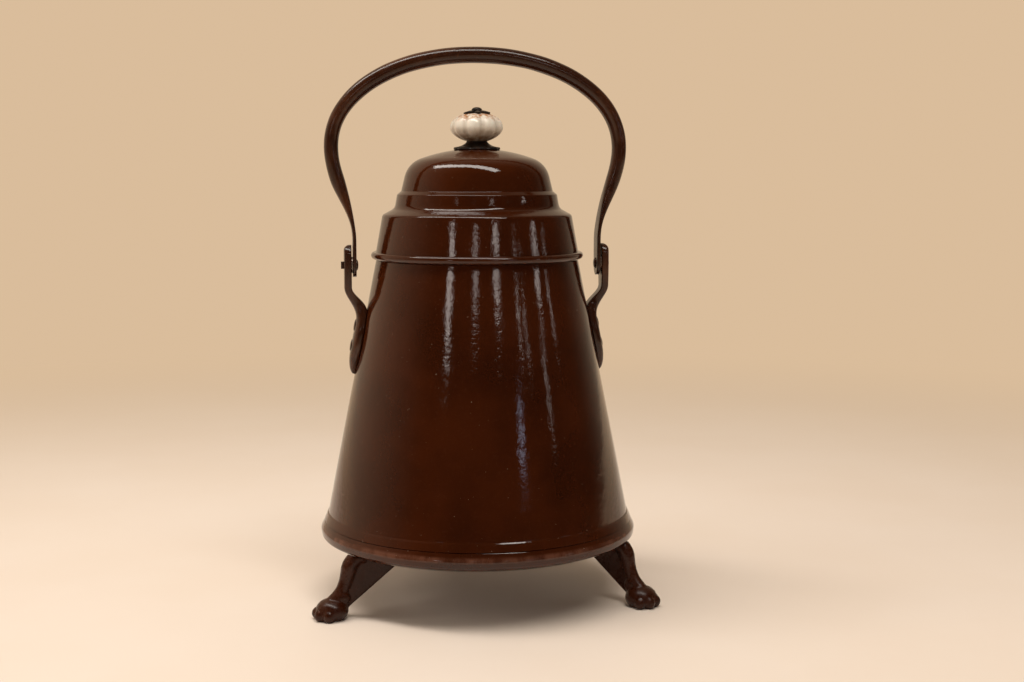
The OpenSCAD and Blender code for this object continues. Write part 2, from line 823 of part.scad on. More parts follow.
// Hollow trumpet under the porcelain, resting on the dome by its rim
module knob_base() {
    rim_w = 2.6;
    rim_t = 1.4;
    steps = 10;
    flare = [
        for (i = [0:steps])
            let (a = 90 * i / steps)
            [mix(knob_base_r, knob_neck_r, sin(a)), mix(knob_foot_z + rim_t, knob_z, 1 - cos(a))]
    ];
    hollow_r = knob_base_r - rim_w;
    hollow_top_z = knob_z - knob_base_h / 3;
    color(iron) difference() {
        rotate_extrude()
            polygon(concat(
                [[knob_base_r, knob_foot_z]], flare,
                [[0, knob_z], [0, hollow_top_z], [knob_neck_r - rim_w, hollow_top_z]],
                [[hollow_r, crown_height(hollow_r)]]
            ));
        translate([0, 0, knob_z - knob_base_h]) cylinder(r = screw_r + hole_gap, h = knob_base_h + cut);
    }
}

// Space over the domed seat under the cap, out to radius r and moved down by a gap
module over_cap_seat(r, gap) {
    difference() {
        translate([0, 0, cap_z - cap_h]) cylinder(r = r, h = 3 * cap_h);
        translate([0, 0, cap_z - cap_under_r]) sphere(r = cap_under_r - gap, $fn = 128);
    }
}

// Lobed porcelain: full above the widest line, nearly straight-sided below
module knob() {
    around = 90;
    rows = 8;
    upper_fullness = 2.3;
    lower_fullness = 1.85;
    // Line from the widest level to radius r and height h: [share of the width, height]
    side = function (r, h, fullness)
        let (end = acos(pow(r / knob_r, fullness / 2)))
        [for (i = [0:rows])
            let (a = end * i / rows)
            [pow(cos(a), 2 / fullness), pow(sin(a) / sin(end), 2 / fullness) * h]];
    lower = [for (i = [rows:-1:1]) side(knob_neck_r, -knob_under_h, lower_fullness)[i]];
    upper = side(screw_head_r, knob_over_h, upper_fullness);
    color(porcelain) difference() {
        skin([
            for (row = concat(lower, upper))
                [for (k = [0:around - 1])
                    let (
                        a = 360 * k / around,
                        groove = knob_groove * (1 - abs(cos(knob_lobes * (a - knob_turn) / 2))),
                        r = (knob_r - groove) * row.x
                    )
                    [r * cos(a), r * sin(a), knob_wide_z + row.y]]
        ]);
        over_cap_seat(cap_r + 2 * head_seat, hole_gap);
        translate([0, 0, knob_z - cut])
            cylinder(r = screw_r + hole_gap, h = knob_top_z - knob_z + 2 * cut);
    }
}

// Leafed cap that drapes over the porcelain's top
module knob_cap() {
    leaf_steps = 4;
    spread = 360 / cap_leaves;
    star = [
        for (i = [0:cap_leaves - 1], k = [0:2 * leaf_steps - 1])
            let (
                t = abs(k / leaf_steps - 1),
                a = spread * (i + k / (2 * leaf_steps)),
                r = mix(cap_r, leaf_notch * cap_r, smooth(t))
            )
            r * [cos(a), sin(a)]
    ];
    color(iron) difference() {
        intersection() {
            translate([0, 0, cap_z - cap_h]) linear_extrude(3 * cap_h) polygon(star);
            translate([0, 0, cap_top_z - cap_over_r]) sphere(r = cap_over_r, $fn = 128);
            over_cap_seat(2 * cap_r, 0);
        }
        translate([0, 0, cap_z - cap_h]) cylinder(r = screw_r + hole_gap, h = 4 * cap_h);
    }
}

module knob_screw() {
    foot_z = nut_z - screw_end;
    color(iron) {
        translate([0, 0, foot_z]) cylinder(r = screw_r, h = cap_top_z - foot_z);
        translate([0, 0, cap_top_z]) dome_head(screw_head_r, screw_head_h);
    }
}

module knob_washer() {
    color(steel) translate([0, 0, washer_z]) difference() {
        cylinder(r = knob_washer_r, h = knob_washer_t);
        translate([0, 0, -cut]) cylinder(r = screw_r + hole_gap, h = knob_washer_t + 2 * cut);
    }
}

module knob_nut() {
    color(steel) translate([0, 0, nut_z]) difference() {
        cylinder(d = nut_corners, h = nut_t, $fn = 6);
        translate([0, 0, -cut]) cylinder(r = screw_r + hole_gap, h = nut_t + 2 * cut);
    }
}

// Handle: the flattened ends carry the pin holes, and one bar runs between them
module bail() {
    sides = 16;
    bow_steps = 12;
    crown_steps = 16;
    half = concat(
        [[strip_mid_x, pivot_z + flat_top], [strip_mid_x, leg_z]],
        [for (i = [1:bow_steps - 1])
            let (t = i / bow_steps)
            [strip_mid_x + handle_bow * (1 - cos(180 * t)) / 2, mix(leg_z, wide_z, t)]],
        [for (i = [0:crown_steps])
            let (a = 90 * i / crown_steps)
            [(strip_mid_x + handle_bow) * pow(cos(a), 2 / crown_power),
                wide_z + crown_drop * pow(sin(a), 2 / crown_power)]]
    );
    route = concat(half, [for (i = [len(half) - 2:-1:0]) [-half[i].x, half[i].y]]);
    last = len(route) - 1;
    thickness = function (z)
        mix(mix(strip_t, side_t, smooth((z - thin_z) / (thick_z - thin_z))), crown_t,
            smooth((z - wide_z) / crown_drop));
    depth = function (z) mix(strip_w, crown_d, smooth((z - thin_z) / (thick_z - thin_z)));
    squareness = function (z)
        mix(strip_squareness, bar_squareness, smooth((z - leg_z) / (thick_z - leg_z)));
    color(iron) difference() {
        union() {
            skin([
                for (i = [0:last])
                    let (
                        p = route[i],
                        d = unit(route[min(i + 1, last)] - route[max(i - 1, 0)])
                    )
                    bar_ring(p, d, thickness(p.y) / 2, depth(p.y) / 2, sides, squareness(p.y))
            ]);
            for (side = [0, 180])
                rotate(side) translate([strip_in_x, 0, pivot_z]) {
                    translate([0, 0, -tail_drop]) rotate([0, 90, 0]) cylinder(d = strip_w, h = strip_t);
                    translate([0, -strip_w / 2, -tail_drop])
                        cube([strip_t, strip_w, flat_top + tail_drop + 2 * cut]);
                }
        }
        for (side = [0, 180])
            rotate(side) translate([strip_in_x - cut, 0, pivot_z]) rotate([0, 90, 0])
                cylinder(r = pin_r + pin_clearance, h = strip_t + 2 * cut);
    }
}

body_shell();
bottom_pan();
neck_collar();
mouth_wire();
base_ring();
base_wire();
left_ear();
right_ear();
left_ear_rivets();
right_ear_rivets();
left_pivot_pin();
right_pivot_pin();
left_pivot_washer();
right_pivot_washer();
foot_back();
foot_front_left();
foot_front_right();
foot_back_rivets();
foot_front_left_rivets();
foot_front_right_rivets();
lid_shell();
lid_rim_wire();
knob_base();
knob();
knob_cap();
knob_screw();
knob_washer();
knob_nut();
bail();
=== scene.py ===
"""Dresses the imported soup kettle: enamelled shells, forged handle and ears, cast feet, porcelain knob.

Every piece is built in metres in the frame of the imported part, and rides on one of its bodies.
"""

import math

import bmesh
import bpy
from bpy.props import FloatProperty, FloatVectorProperty, IntProperty, PointerProperty
from mathutils import Matrix, Vector, noise


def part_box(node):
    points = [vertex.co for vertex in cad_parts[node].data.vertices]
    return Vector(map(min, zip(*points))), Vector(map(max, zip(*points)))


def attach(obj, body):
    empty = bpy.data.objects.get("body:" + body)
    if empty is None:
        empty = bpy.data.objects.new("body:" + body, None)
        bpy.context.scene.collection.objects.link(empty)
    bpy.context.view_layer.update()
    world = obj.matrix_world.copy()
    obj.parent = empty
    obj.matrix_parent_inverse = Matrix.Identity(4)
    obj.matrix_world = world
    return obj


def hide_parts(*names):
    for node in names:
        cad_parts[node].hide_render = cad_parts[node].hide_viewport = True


bl_info = {
    "name": "Soup Kettle Dressing",
    "version": (1, 0, 0),
    "blender": (4, 5, 0),
    "location": "View3D > Sidebar > Kettle",
    "description": "Builds the enamelled shells, castings, forgings and porcelain of a footed kettle",
    "category": "Object",
}

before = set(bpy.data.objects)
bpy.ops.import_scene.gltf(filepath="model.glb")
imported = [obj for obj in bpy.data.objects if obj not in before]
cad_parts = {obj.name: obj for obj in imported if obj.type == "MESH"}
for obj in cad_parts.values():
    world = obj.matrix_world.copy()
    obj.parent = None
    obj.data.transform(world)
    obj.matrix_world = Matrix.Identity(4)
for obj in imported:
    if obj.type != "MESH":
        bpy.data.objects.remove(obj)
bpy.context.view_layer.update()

MM = 0.001
AROUND = 240
SIDES = {"left": math.pi, "right": 0.0}
FEET = {"back": 90.0, "front_left": 210.0, "front_right": 330.0}


# ---------------------------------------------------------------------------
# Sizes and colours that a user would change
# ---------------------------------------------------------------------------


def length(name, description, default):
    return FloatProperty(name=name, description=description, default=default, unit="LENGTH", precision=4)


def angle(name, description, default):
    return FloatProperty(name=name, description=description, default=math.radians(default), subtype="ANGLE")


def colour(name, description, default):
    return FloatVectorProperty(
        name=name, description=description, default=default, size=3, subtype="COLOR", min=0.0, max=1.0
    )


class WallSizes(bpy.types.PropertyGroup):
    """Sizes of the tapered wall and its base ring."""

    top_z: length("Seat height", "Height of the lid seat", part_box("body_shell")[1].z)
    foot_z: length("Ring height", "Height of the ring's lower edge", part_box("base_ring")[0].z)
    top_r: length("Seat radius", "Outer radius of the wall at the lid seat", 80.4 * MM)
    crease_r: length("Crease radius", "Outer radius of the wall above the ring", 120.6 * MM)
    ring_h: length("Ring rise", "Height of the crease above the ring's lower edge", 22.3 * MM)
    ring_w: length("Ring width", "Reach of the ring beyond the crease", 6.3 * MM)
    nose_h: length("Nose height", "Height of the ring's widest corner above its edge", 9.3 * MM)
    nose_lean: length("Nose lean", "How far the ring draws in below its corner", 0.7 * MM)
    under_h: length("Underside rise", "Rise of the ring's sloping underside", 3.7 * MM)
    under_w: length("Underside width", "Width of the ring's underside", 8.9 * MM)
    seam_h: length("Seam height", "Height of the seam above the ring's lower edge", 15.6 * MM)
    crease_step: length("Crease step", "How far the ring stands out at the crease", 0.9 * MM)
    crease_fillet: length("Crease fillet", "Radius of the crease's corners", 1.4 * MM)
    nose_fillet: length("Nose fillet", "Radius of the ring's corner", 4.5 * MM)
    under_fillet: length("Under fillet", "Radius of the ring's lower corner", 3 * MM)
    sheet: length("Sheet", "Thickness of the enamelled sheet", 1.6 * MM)
    collar_r: length("Collar radius", "Outer radius of the collar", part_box("neck_collar")[1].x - 4 * MM)
    sway: length("Sway", "Unevenness of the spun sheet", 0.12 * MM)


class LidSizes(bpy.types.PropertyGroup):
    """Sizes of the stepped lid."""

    foot_z: length("Foot height", "Height of the skirt's foot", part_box("lid_shell")[0].z)
    top_z: length("Crown height", "Height of the crown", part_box("lid_shell")[1].z)
    bead_r: length("Bead", "Radius of the rolled bead", 2.9 * MM)
    foot_r: length("Foot radius", "Radius of the skirt's foot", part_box("lid_shell")[1].x - 2.9 * MM)
    hem: length("Hem", "Width of the hem turned in at the foot", 4.2 * MM)
    skirt_h: length("Skirt height", "Height of the skirt", 34.9 * MM)
    skirt_taper: length("Skirt taper", "How far the skirt draws in", 6.4 * MM)
    shoulder_w: length("Shoulder width", "Width of the sloping shoulder", 9.8 * MM)
    shoulder_rise: length("Shoulder rise", "Rise of the sloping shoulder", 5.3 * MM)
    step_h: length("Step height", "Height of the step's wall", 10.7 * MM)
    step_taper: length("Step taper", "How far the step's wall draws in", 1.9 * MM)
    ledge_w: length("Ledge width", "Width of the ledge under the dome", 3.3 * MM)
    ledge_rise: length("Ledge rise", "Rise of the ledge under the dome", 2.7 * MM)
    dome_h: length("Dome height", "Height of the dome's side", 22 * MM)
    dome_taper: length("Dome taper", "How far the dome's side draws in", 5.4 * MM)
    corner_r: length("Dome corner", "Radius of the dome's rounded corner", 20 * MM)
    crown_in: length("Crown band", "Width of the band round the crown", 10.9 * MM)
    crown_rise: length("Crown rise", "Rise of the crown at its centre", 7.6 * MM)
    hole_r: length("Screw hole", "Radius of the hole for the knob's screw", 2.55 * MM)


class KnobSizes(bpy.types.PropertyGroup):
    """Sizes of the knob, its calyx and its iron foot."""

    foot_z: length("Foot height", "Height of the iron foot's rim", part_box("knob_base")[0].z)
    under_z: length("Underside", "Height of the porcelain's underside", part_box("knob")[0].z)
    under_h: length("Lower half", "Height of the knob below its widest line", 10.6 * MM)
    over_h: length("Upper half", "Height of the knob above its widest line", 11.6 * MM)
    radius: length("Radius", "Radius across the lobes", 21.2 * MM)
    lobes: IntProperty(name="Lobes", description="Number of lobes", default=9, min=3)
    groove: length("Groove", "Depth of the grooves between the lobes", 1.7 * MM)
    turn: angle("Turn", "Turn of the lobes about the axis", 15.2)
    rim_r: length("Foot radius", "Radius of the iron foot", 18.6 * MM)
    neck_r: length("Neck radius", "Radius of the iron foot's neck", 8.2 * MM)
    screw_r: length("Screw", "Radius of the screw", 2.5 * MM)
    leaf_r: length("Leaf reach", "Reach of the calyx's leaves", 11.4 * MM)
    leaves: IntProperty(name="Leaves", description="Number of leaves on the calyx", default=6, min=3)


class EarSizes(bpy.types.PropertyGroup):
    """Sizes of the forged ears."""

    pivot_z: length("Pivot height", "Height of the pivots", 265 * MM)
    top_h: length("Top", "Length of the ear above the pivot", 16 * MM)
    drop: length("Drop", "Length of the ear below the pivot", 87 * MM)
    strap_t: length("Strap", "Thickness of the strap", 6 * MM)
    leaf_t: length("Leaf", "Thickness of the leaf plate", 7.2 * MM)
    strap_half_w: length("Strap half width", "Half width of the strap at the pivot", 8.5 * MM)
    neck_half_w: length("Neck half width", "Half width of the neck", 6.2 * MM)
    leaf_half_w: length("Leaf half width", "Half width of the leaf plate", 13 * MM)
    bend_top: length("Bend start", "Depth at which the strap starts to bend", 18 * MM)
    bend_foot: length("Bend end", "Depth at which the strap meets the wall", 43.8 * MM)
    bend_lead: length("Bend lead", "How much earlier the strap's inside bends", 7 * MM)
    shoulder_drop: length("Leaf shoulder", "Depth of the leaf's widest line below the bend", 14 * MM)
    leaf_taper: length("Leaf point", "Length of the leaf's point", 20 * MM)
    top_round: length("Top round", "Radius that rounds the strap's top", 4.6 * MM)


class HandleSizes(bpy.types.PropertyGroup):
    """Sizes of the swing handle."""

    strip_x: length("End distance", "Distance of the flat ends from the axis", 96.1 * MM)
    strip_t: length("End thickness", "Thickness of the flat ends", 3 * MM)
    strip_w: length("End width", "Width of the flat ends", 17 * MM)
    crown_t: length("Crown thickness", "Thickness at the crown", 12.8 * MM)
    crown_d: length("Crown depth", "Depth at the crown, front to back", 15 * MM)
    side_t: length("Side thickness", "Thickness at the sides", 11.3 * MM)
    bow: length("Bow", "Reach of the handle beyond its ends", 17.2 * MM)
    crown_drop: length("Crown drop", "Drop from the crown to the widest level", 72.3 * MM)
    power: FloatProperty(name="Fullness", description="Fullness of the crown's curve", default=2.07)
    pin_hole_r: length("Pin hole", "Radius of the pin holes", 3.08 * MM)
    end_drop: length("End drop", "Depth of the round ends' centre below the pivots", 1 * MM)
    leg_h: length("Leg", "Height above the pivots at which the bar starts to bow", 19 * MM)
    thin_h: length("Thin part", "Height above the pivots at which the bar starts to thicken", 27 * MM)
    thick_h: length("Thick part", "Height above the pivots at which the bar has thickened", 70 * MM)
    hammer: length("Hammering", "Unevenness of the forging", 0.16 * MM)


class FootSizes(bpy.types.PropertyGroup):
    """Sizes of the cast feet."""

    paw_r: length("Paw distance", "Distance of the paw's middle from the axis", 140 * MM)
    twist: angle("Twist", "Turn of the foot about its paw", -16)
    pad_r: length("Pad", "Radius of the paw's pad", 12.6 * MM)
    toe_r: length("Toe", "Radius of the toes", 5.4 * MM)
    spine_r: length("Spine", "Radius of the leg's spine", 6 * MM)
    web_t: length("Web", "Thickness of the web", 6.4 * MM)
    web_slope: angle("Web slope", "Slope of the web's inner edge", 37)
    grain: length("Grain", "Size of the remeshed grain", 0.55 * MM)


class Finishes(bpy.types.PropertyGroup):
    """Colours of the finishes."""

    enamel: colour("Enamel", "Brown enamel", (0.046, 0.0094, 0.0019))
    enamel_deep: colour("Deep enamel", "Enamel where it ran thick", (0.030, 0.0060, 0.0012))
    # Lighter brown of wear; it also paints the highlight along the base ring's nose
    enamel_worn_and_highlight: colour("Worn enamel", "Enamel rubbed along the edges", (0.15, 0.060, 0.036))
    casting: colour("Casting", "Brown enamel over the castings", (0.040, 0.0100, 0.0032))
    iron: colour("Iron", "Japanned forging", (0.030, 0.0086, 0.0034))
    iron_worn: colour("Worn iron", "Brown where the black wore off", (0.078, 0.0255, 0.0105))
    knob_iron: colour("Knob iron", "Dark oxidised iron", (0.012, 0.0085, 0.0065))
    porcelain: colour("Porcelain", "Glazed porcelain", (0.90, 0.83, 0.71))
    porcelain_grey: colour("Grey porcelain", "Greyer patches of the glaze", (0.86, 0.80, 0.70))
    stain: colour("Stain", "Rust on the porcelain", (0.46, 0.17, 0.045))
    # Dark brown that paints the shade over the porcelain's lower half and darkens its grooves
    grime_and_shade: colour("Grime", "Grime in the porcelain's grooves and lower half", (0.19, 0.098, 0.042))
    steel: colour("Steel", "Plain steel", (0.34, 0.31, 0.27))
    rust: colour("Rust", "Rust", (0.15, 0.048, 0.014))
    dust: colour("Dust", "Specks of dust on the enamel", (0.42, 0.33, 0.25))
    table: colour("Table", "Pale floor", (0.88, 0.76, 0.66))
    wall: colour("Wall", "Pale background", (0.70, 0.508, 0.330))


GROUPS = {
    "kettle_wall": WallSizes,
    "kettle_lid": LidSizes,
    "kettle_knob": KnobSizes,
    "kettle_ear": EarSizes,
    "kettle_handle": HandleSizes,
    "kettle_foot": FootSizes,
    "kettle_finish": Finishes,
}


# ---------------------------------------------------------------------------
# Lines and meshes
# ---------------------------------------------------------------------------


def mix(a, b, t):
    return a + (b - a) * t


def smooth(t):
    t = min(1.0, max(0.0, t))
    return t * t * (3 - 2 * t)


def signed_power(value, power):
    return math.copysign(abs(value) ** power, value)


def corner_arc(before, corner, after, radius, steps=8):
    """Points of the arc that rounds a corner of a flat line."""
    u = (before - corner).normalized()
    v = (after - corner).normalized()
    half = u.angle(v) / 2
    centre = corner + (u + v).normalized() * radius / math.sin(half)
    start = corner + u * radius / math.tan(half) - centre
    end = corner + v * radius / math.tan(half) - centre
    turn = math.atan2(start.x * end.y - start.y * end.x, start.dot(end))
    return [centre + Matrix.Rotation(turn * i / steps, 2) @ start for i in range(steps + 1)]


def rounded(corners):
    """Line through (x, y, fillet radius) corners."""
    points = [Vector((x, y)) for x, y, _ in corners]
    line = []
    for i, (_, _, radius) in enumerate(corners):
        if radius == 0:
            line.append(points[i])
        else:
            line += corner_arc(points[i - 1], points[i], points[i + 1], radius)
    return line


def direction(line, i):
    """Direction in which a line runs at one of its points."""
    return (line[min(i + 1, len(line) - 1)] - line[max(i - 1, 0)]).normalized()


def beside(line, distance):
    """The same line moved to its left."""
    moved = []
    for i, p in enumerate(line):
        along = direction(line, i)
        moved.append(p + distance * Vector((-along.y, along.x)))
    return moved


def divided(line, step):
    """The same line with its long stretches cut into pieces no longer than step."""
    points = [line[0]]
    for a, b in zip(line, line[1:]):
        count = max(1, math.ceil((b - a).length / step))
        points += [a.lerp(b, (i + 1) / count) for i in range(count)]
    return points


def smooth_curve(points, steps):
    """Catmull-Rom curve through points of any dimension."""
    last = len(points) - 1
    line = []
    for i in range(last):
        p0, p1, p2, p3 = points[max(i - 1, 0)], points[i], points[i + 1], points[min(i + 2, last)]
        for k in range(steps):
            t = k / steps
            line.append(
                0.5 * (2 * p1 + (p2 - p0) * t + (2 * p0 - 5 * p1 + 4 * p2 - p3) * t**2
                       + (3 * p1 - p0 - 3 * p2 + p3) * t**3)
            )
    return line + [points[last]]


def new_piece(name, vertices, faces, sharp=45):
    """Smooth-shaded object with outward faces; edges over the sharp angle stay crisp."""
    mesh = bpy.data.meshes.new(name)
    mesh.from_pydata([tuple(v) for v in vertices], [], faces)
    return finished(bpy.data.objects.new(name, mesh), sharp)


def finished(piece, sharp=45):
    mesh = piece.data
    work = bmesh.new()
    work.from_mesh(mesh)
    bmesh.ops.remove_doubles(work, verts=work.verts, dist=1e-7)
    bmesh.ops.recalc_face_normals(work, faces=work.faces)
    work.to_mesh(mesh)
    work.free()
    mesh.shade_smooth()
    mesh.set_sharp_from_angle(angle=math.radians(sharp))
    if piece.name not in bpy.context.scene.collection.objects:
        bpy.context.scene.collection.objects.link(piece)
    return piece


def skin(name, rings, closed=False, sharp=45):
    """Piece through a row of equal rings, capped at both ends or joined into a loop."""
    count = len(rings[0])
    rows = len(rings)
    vertices = [v for ring in rings for v in ring]
    faces = []
    for i in range(rows if closed else rows - 1):
        a, b = i * count, (i + 1) % rows * count
        for k in range(count):
            n = (k + 1) % count
            faces.append((a + k, a + n, b + n, b + k))
    if not closed:
        for row, ring in ((0, rings[0]), (rows - 1, rings[-1])):
            centre = sum(ring, Vector((0, 0, 0))) / count
            vertices.append(centre)
            middle = len(vertices) - 1
            faces += [(row * count + k, row * count + (k + 1) % count, middle) for k in range(count)]
    return new_piece(name, vertices, faces, sharp)


def ring_of(radius, z, around=AROUND, shape=None):
    """Ring about the axis; shape(angle, radius, z) may return another radius and height."""
    points = []
    for k in range(around):
        a = math.tau * k / around
        r, h = shape(a, radius, z) if shape else (radius, z)
        points.append(Vector((r * math.cos(a), r * math.sin(a), h)))
    return points


def turned(name, section, shape=None, sharp=45, around=AROUND):
    """Body of revolution through a closed (radius, height) section that stays off the axis."""
    return skin(name, [ring_of(p.x, p.y, around, shape) for p in section], closed=True, sharp=sharp)


def cut_away(piece, tool):
    """Cuts the tool out of the piece and deletes the tool."""
    modifier = piece.modifiers.new("Cut", "BOOLEAN")
    modifier.operation = "DIFFERENCE"
    modifier.solver = "EXACT"
    modifier.object = tool
    apply_modifiers(piece)
    bpy.data.objects.remove(tool)


def apply_modifiers(piece):
    bpy.context.view_layer.update()
    evaluated = piece.evaluated_get(bpy.context.evaluated_depsgraph_get())
    mesh = bpy.data.meshes.new_from_object(evaluated)
    piece.modifiers.clear()
    piece.data = mesh


def dress(piece, material, body, slot, *nodes):
    """Gives a finished piece its material and body, and hides the nodes it stands for; slot is not used."""
    piece.data.materials.clear()
    piece.data.materials.append(material)
    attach(piece, body)
    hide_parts(*nodes)


# ---------------------------------------------------------------------------
# Materials
# ---------------------------------------------------------------------------


class Finish:
    """A material whose nodes are placed and wired one after another."""

    def __init__(self, name):
        self.material = bpy.data.materials.new(name)
        self.material.use_nodes = True
        self.tree = self.material.node_tree
        self.shader = self.tree.nodes["Principled BSDF"]
        self.place = self.add("ShaderNodeTexCoord").outputs["Object"]

    def add(self, kind, inputs=None, **settings):
        node = self.tree.nodes.new(kind)
        for key, value in settings.items():
            setattr(node, key, value)
        for key, value in (inputs or {}).items():
            if isinstance(value, bpy.types.NodeSocket):
                self.tree.links.new(value, node.inputs[key])
            else:
                node.inputs[key].default_value = value
        return node

    def link(self, output, socket):
        self.tree.links.new(output, self.shader.inputs[socket])

    def math(self, operation, a, b=0.0):
        return self.add("ShaderNodeMath", {0: a, 1: b}, operation=operation).outputs[0]

    def noise(self, scale, detail=2.0, roughness=0.5, place=None):
        inputs = {"Vector": place or self.place, "Scale": scale, "Detail": detail, "Roughness": roughness}
        return self.add("ShaderNodeTexNoise", inputs).outputs["Fac"]

    def stretched(self, x, y, z):
        """The place with each axis scaled, so that a noise on it runs along an axis."""
        return self.add("ShaderNodeMapping", {"Vector": self.place, "Scale": (x, y, z)}).outputs["Vector"]

    def band(self, value, low, high, start=0.0, end=1.0):
        """Smooth step of a value from start at low to end at high."""
        return self.add(
            "ShaderNodeMapRange",
            {"Value": value, "From Min": low, "From Max": high, "To Min": start, "To Max": end},
            interpolation_type="SMOOTHSTEP",
        ).outputs["Result"]

    def blend(self, share, a, b):
        """Mix of two colours, each of them a plain colour or a socket."""
        a, b = (c if isinstance(c, bpy.types.NodeSocket) else (*c, 1) for c in (a, b))
        return self.add("ShaderNodeMix", {0: share, 6: a, 7: b}, data_type="RGBA").outputs[2]

    def bump(self, height, distance, below=None):
        node = self.add("ShaderNodeBump", {"Height": height, "Distance": distance, "Strength": 1.0})
        if below:
            self.tree.links.new(below, node.inputs["Normal"])
        return node.outputs["Normal"]

    def height(self):
        return self.add("ShaderNodeSeparateXYZ", {"Vector": self.place}).outputs["Z"]

    def lobe_angle(self, sizes):
        """Half the angle in lobes: a multiple of pi on each ridge, halfway between in each groove."""
        flat = self.add("ShaderNodeSeparateXYZ", {"Vector": self.place})
        turn = self.math("ARCTAN2", flat.outputs["Y"], flat.outputs["X"])
        return self.math("MULTIPLY", self.math("SUBTRACT", turn, sizes.turn), sizes.lobes / 2)

    def radius(self):
        flat = self.add("ShaderNodeVectorMath", {0: self.place, 1: (1, 1, 0)}, operation="MULTIPLY")
        return self.add("ShaderNodeVectorMath", {0: flat.outputs[0]}, operation="LENGTH").outputs["Value"]


def enamel(name, worn_highlight_low=0.0, worn_highlight_high=0.0, peel=1.0):
    """Glossy brown enamel: thick and thin patches, pinholes, dust, and a lighter band between two heights
    that is both wear and a painted highlight.
    """
    look = bpy.context.scene.kettle_finish
    finish = Finish(name)
    pool = finish.noise(14, 3, 0.55)
    colour = finish.blend(finish.band(pool, 0.36, 0.66), look.enamel_deep, look.enamel)
    mottle = finish.noise(420, 3, 0.6)
    colour = finish.blend(finish.band(mottle, 0.52, 0.78, 0.0, 0.06), colour, look.enamel_worn_and_highlight)
    scuffs = finish.noise(60, 8, 0.72, finish.stretched(1.0, 1.0, 0.35))
    # Lighter band between two heights: worn enamel and a painted highlight
    if worn_highlight_high:
        edge = finish.math(
            "MULTIPLY",
            finish.band(finish.height(), worn_highlight_low, mix(worn_highlight_low, worn_highlight_high, 0.4)),
            finish.band(finish.height(), mix(worn_highlight_low, worn_highlight_high, 0.6), worn_highlight_high, 1.0, 0.0),
        )
        rubbed_and_highlight = finish.math("MULTIPLY", edge, finish.band(scuffs, 0.40, 0.62, 0.12, 0.65))
        colour = finish.blend(rubbed_and_highlight, colour, look.enamel_worn_and_highlight)
    specks = finish.band(finish.noise(760, 1, 0.5), 0.785, 0.82)
    colour = finish.blend(finish.math("MULTIPLY", specks, 0.55), colour, look.dust)
    finish.link(colour, "Base Color")
    haze = finish.band(finish.noise(32, 6, 0.68), 0.42, 0.72, 0.04, 0.11)
    finish.link(finish.math("ADD", haze, finish.math("MULTIPLY", specks, 0.3)), "Roughness")
    finish.shader.inputs["IOR"].default_value = 1.47
    waves = finish.bump(finish.noise(46, 2, 0.4), 0.00024 * peel)
    ripple = finish.bump(finish.noise(300, 3, 0.6), 0.000090 * peel, waves)
    pits = finish.bump(finish.noise(900, 2, 0.6), 0.000005, ripple)
    finish.link(pits, "Normal")
    return finish.material


def cast_enamel(name):
    """The same brown over a rough casting, in darker patches and darker towards the table over its lowest 4
    mm.
    """
    look = bpy.context.scene.kettle_finish
    finish = Finish(name)
    patches = finish.band(finish.noise(90, 5, 0.62), 0.38, 0.68)
    colour = finish.blend(patches, look.enamel_deep, look.casting)
    chips = finish.band(finish.noise(240, 4, 0.7), 0.64, 0.70, 0.0, 0.8)
    colour = finish.blend(chips, colour, look.enamel_worn_and_highlight)
    low = finish.band(finish.height(), 0.0, 4 * MM, 0.55, 0.0)
    colour = finish.blend(low, colour, look.enamel_deep)
    finish.link(colour, "Base Color")
    finish.link(finish.band(finish.noise(180, 5, 0.7), 0.35, 0.75, 0.22, 0.44), "Roughness")
    finish.shader.inputs["Specular IOR Level"].default_value = 0.26
    lumps = finish.bump(finish.noise(150, 4, 0.55), 0.00018)
    finish.link(finish.bump(finish.noise(900, 3, 0.6), 0.00003, lumps), "Normal")
    return finish.material


def forged_iron(name, along=(1.0, 1.0, 1.0)):
    """Black japanned forging with brown worn streaks, hammer marks and a little rust."""
    look = bpy.context.scene.kettle_finish
    finish = Finish(name)
    streaks = finish.noise(70, 6, 0.66, finish.stretched(*along))
    colour = finish.blend(finish.band(streaks, 0.46, 0.72), look.iron, look.iron_worn)
    colour = finish.blend(
        finish.band(finish.noise(310, 5, 0.7), 0.60, 0.72, 0.0, 0.6), colour, look.rust
    )
    finish.link(colour, "Base Color")
    finish.link(finish.band(finish.noise(120, 6, 0.7), 0.30, 0.75, 0.10, 0.28), "Roughness")
    finish.shader.inputs["Specular IOR Level"].default_value = 0.40
    marks = finish.bump(finish.noise(55, 2, 0.5), 0.00022)
    scale = finish.bump(finish.noise(520, 5, 0.7), 0.00003, marks)
    finish.link(scale, "Normal")
    return finish.material


def knob_iron(name):
    """Near-black oxidised iron with faint rusty patches."""
    look = bpy.context.scene.kettle_finish
    finish = Finish(name)
    colour = finish.blend(
        finish.band(finish.noise(420, 5, 0.7), 0.50, 0.74, 0.0, 0.7), look.knob_iron, look.rust
    )
    finish.link(colour, "Base Color")
    finish.shader.inputs["Metallic"].default_value = 0.25
    finish.link(finish.band(finish.noise(300, 5, 0.7), 0.3, 0.7, 0.30, 0.55), "Roughness")
    finish.link(finish.bump(finish.noise(700, 4, 0.65), 0.00008), "Normal")
    return finish.material


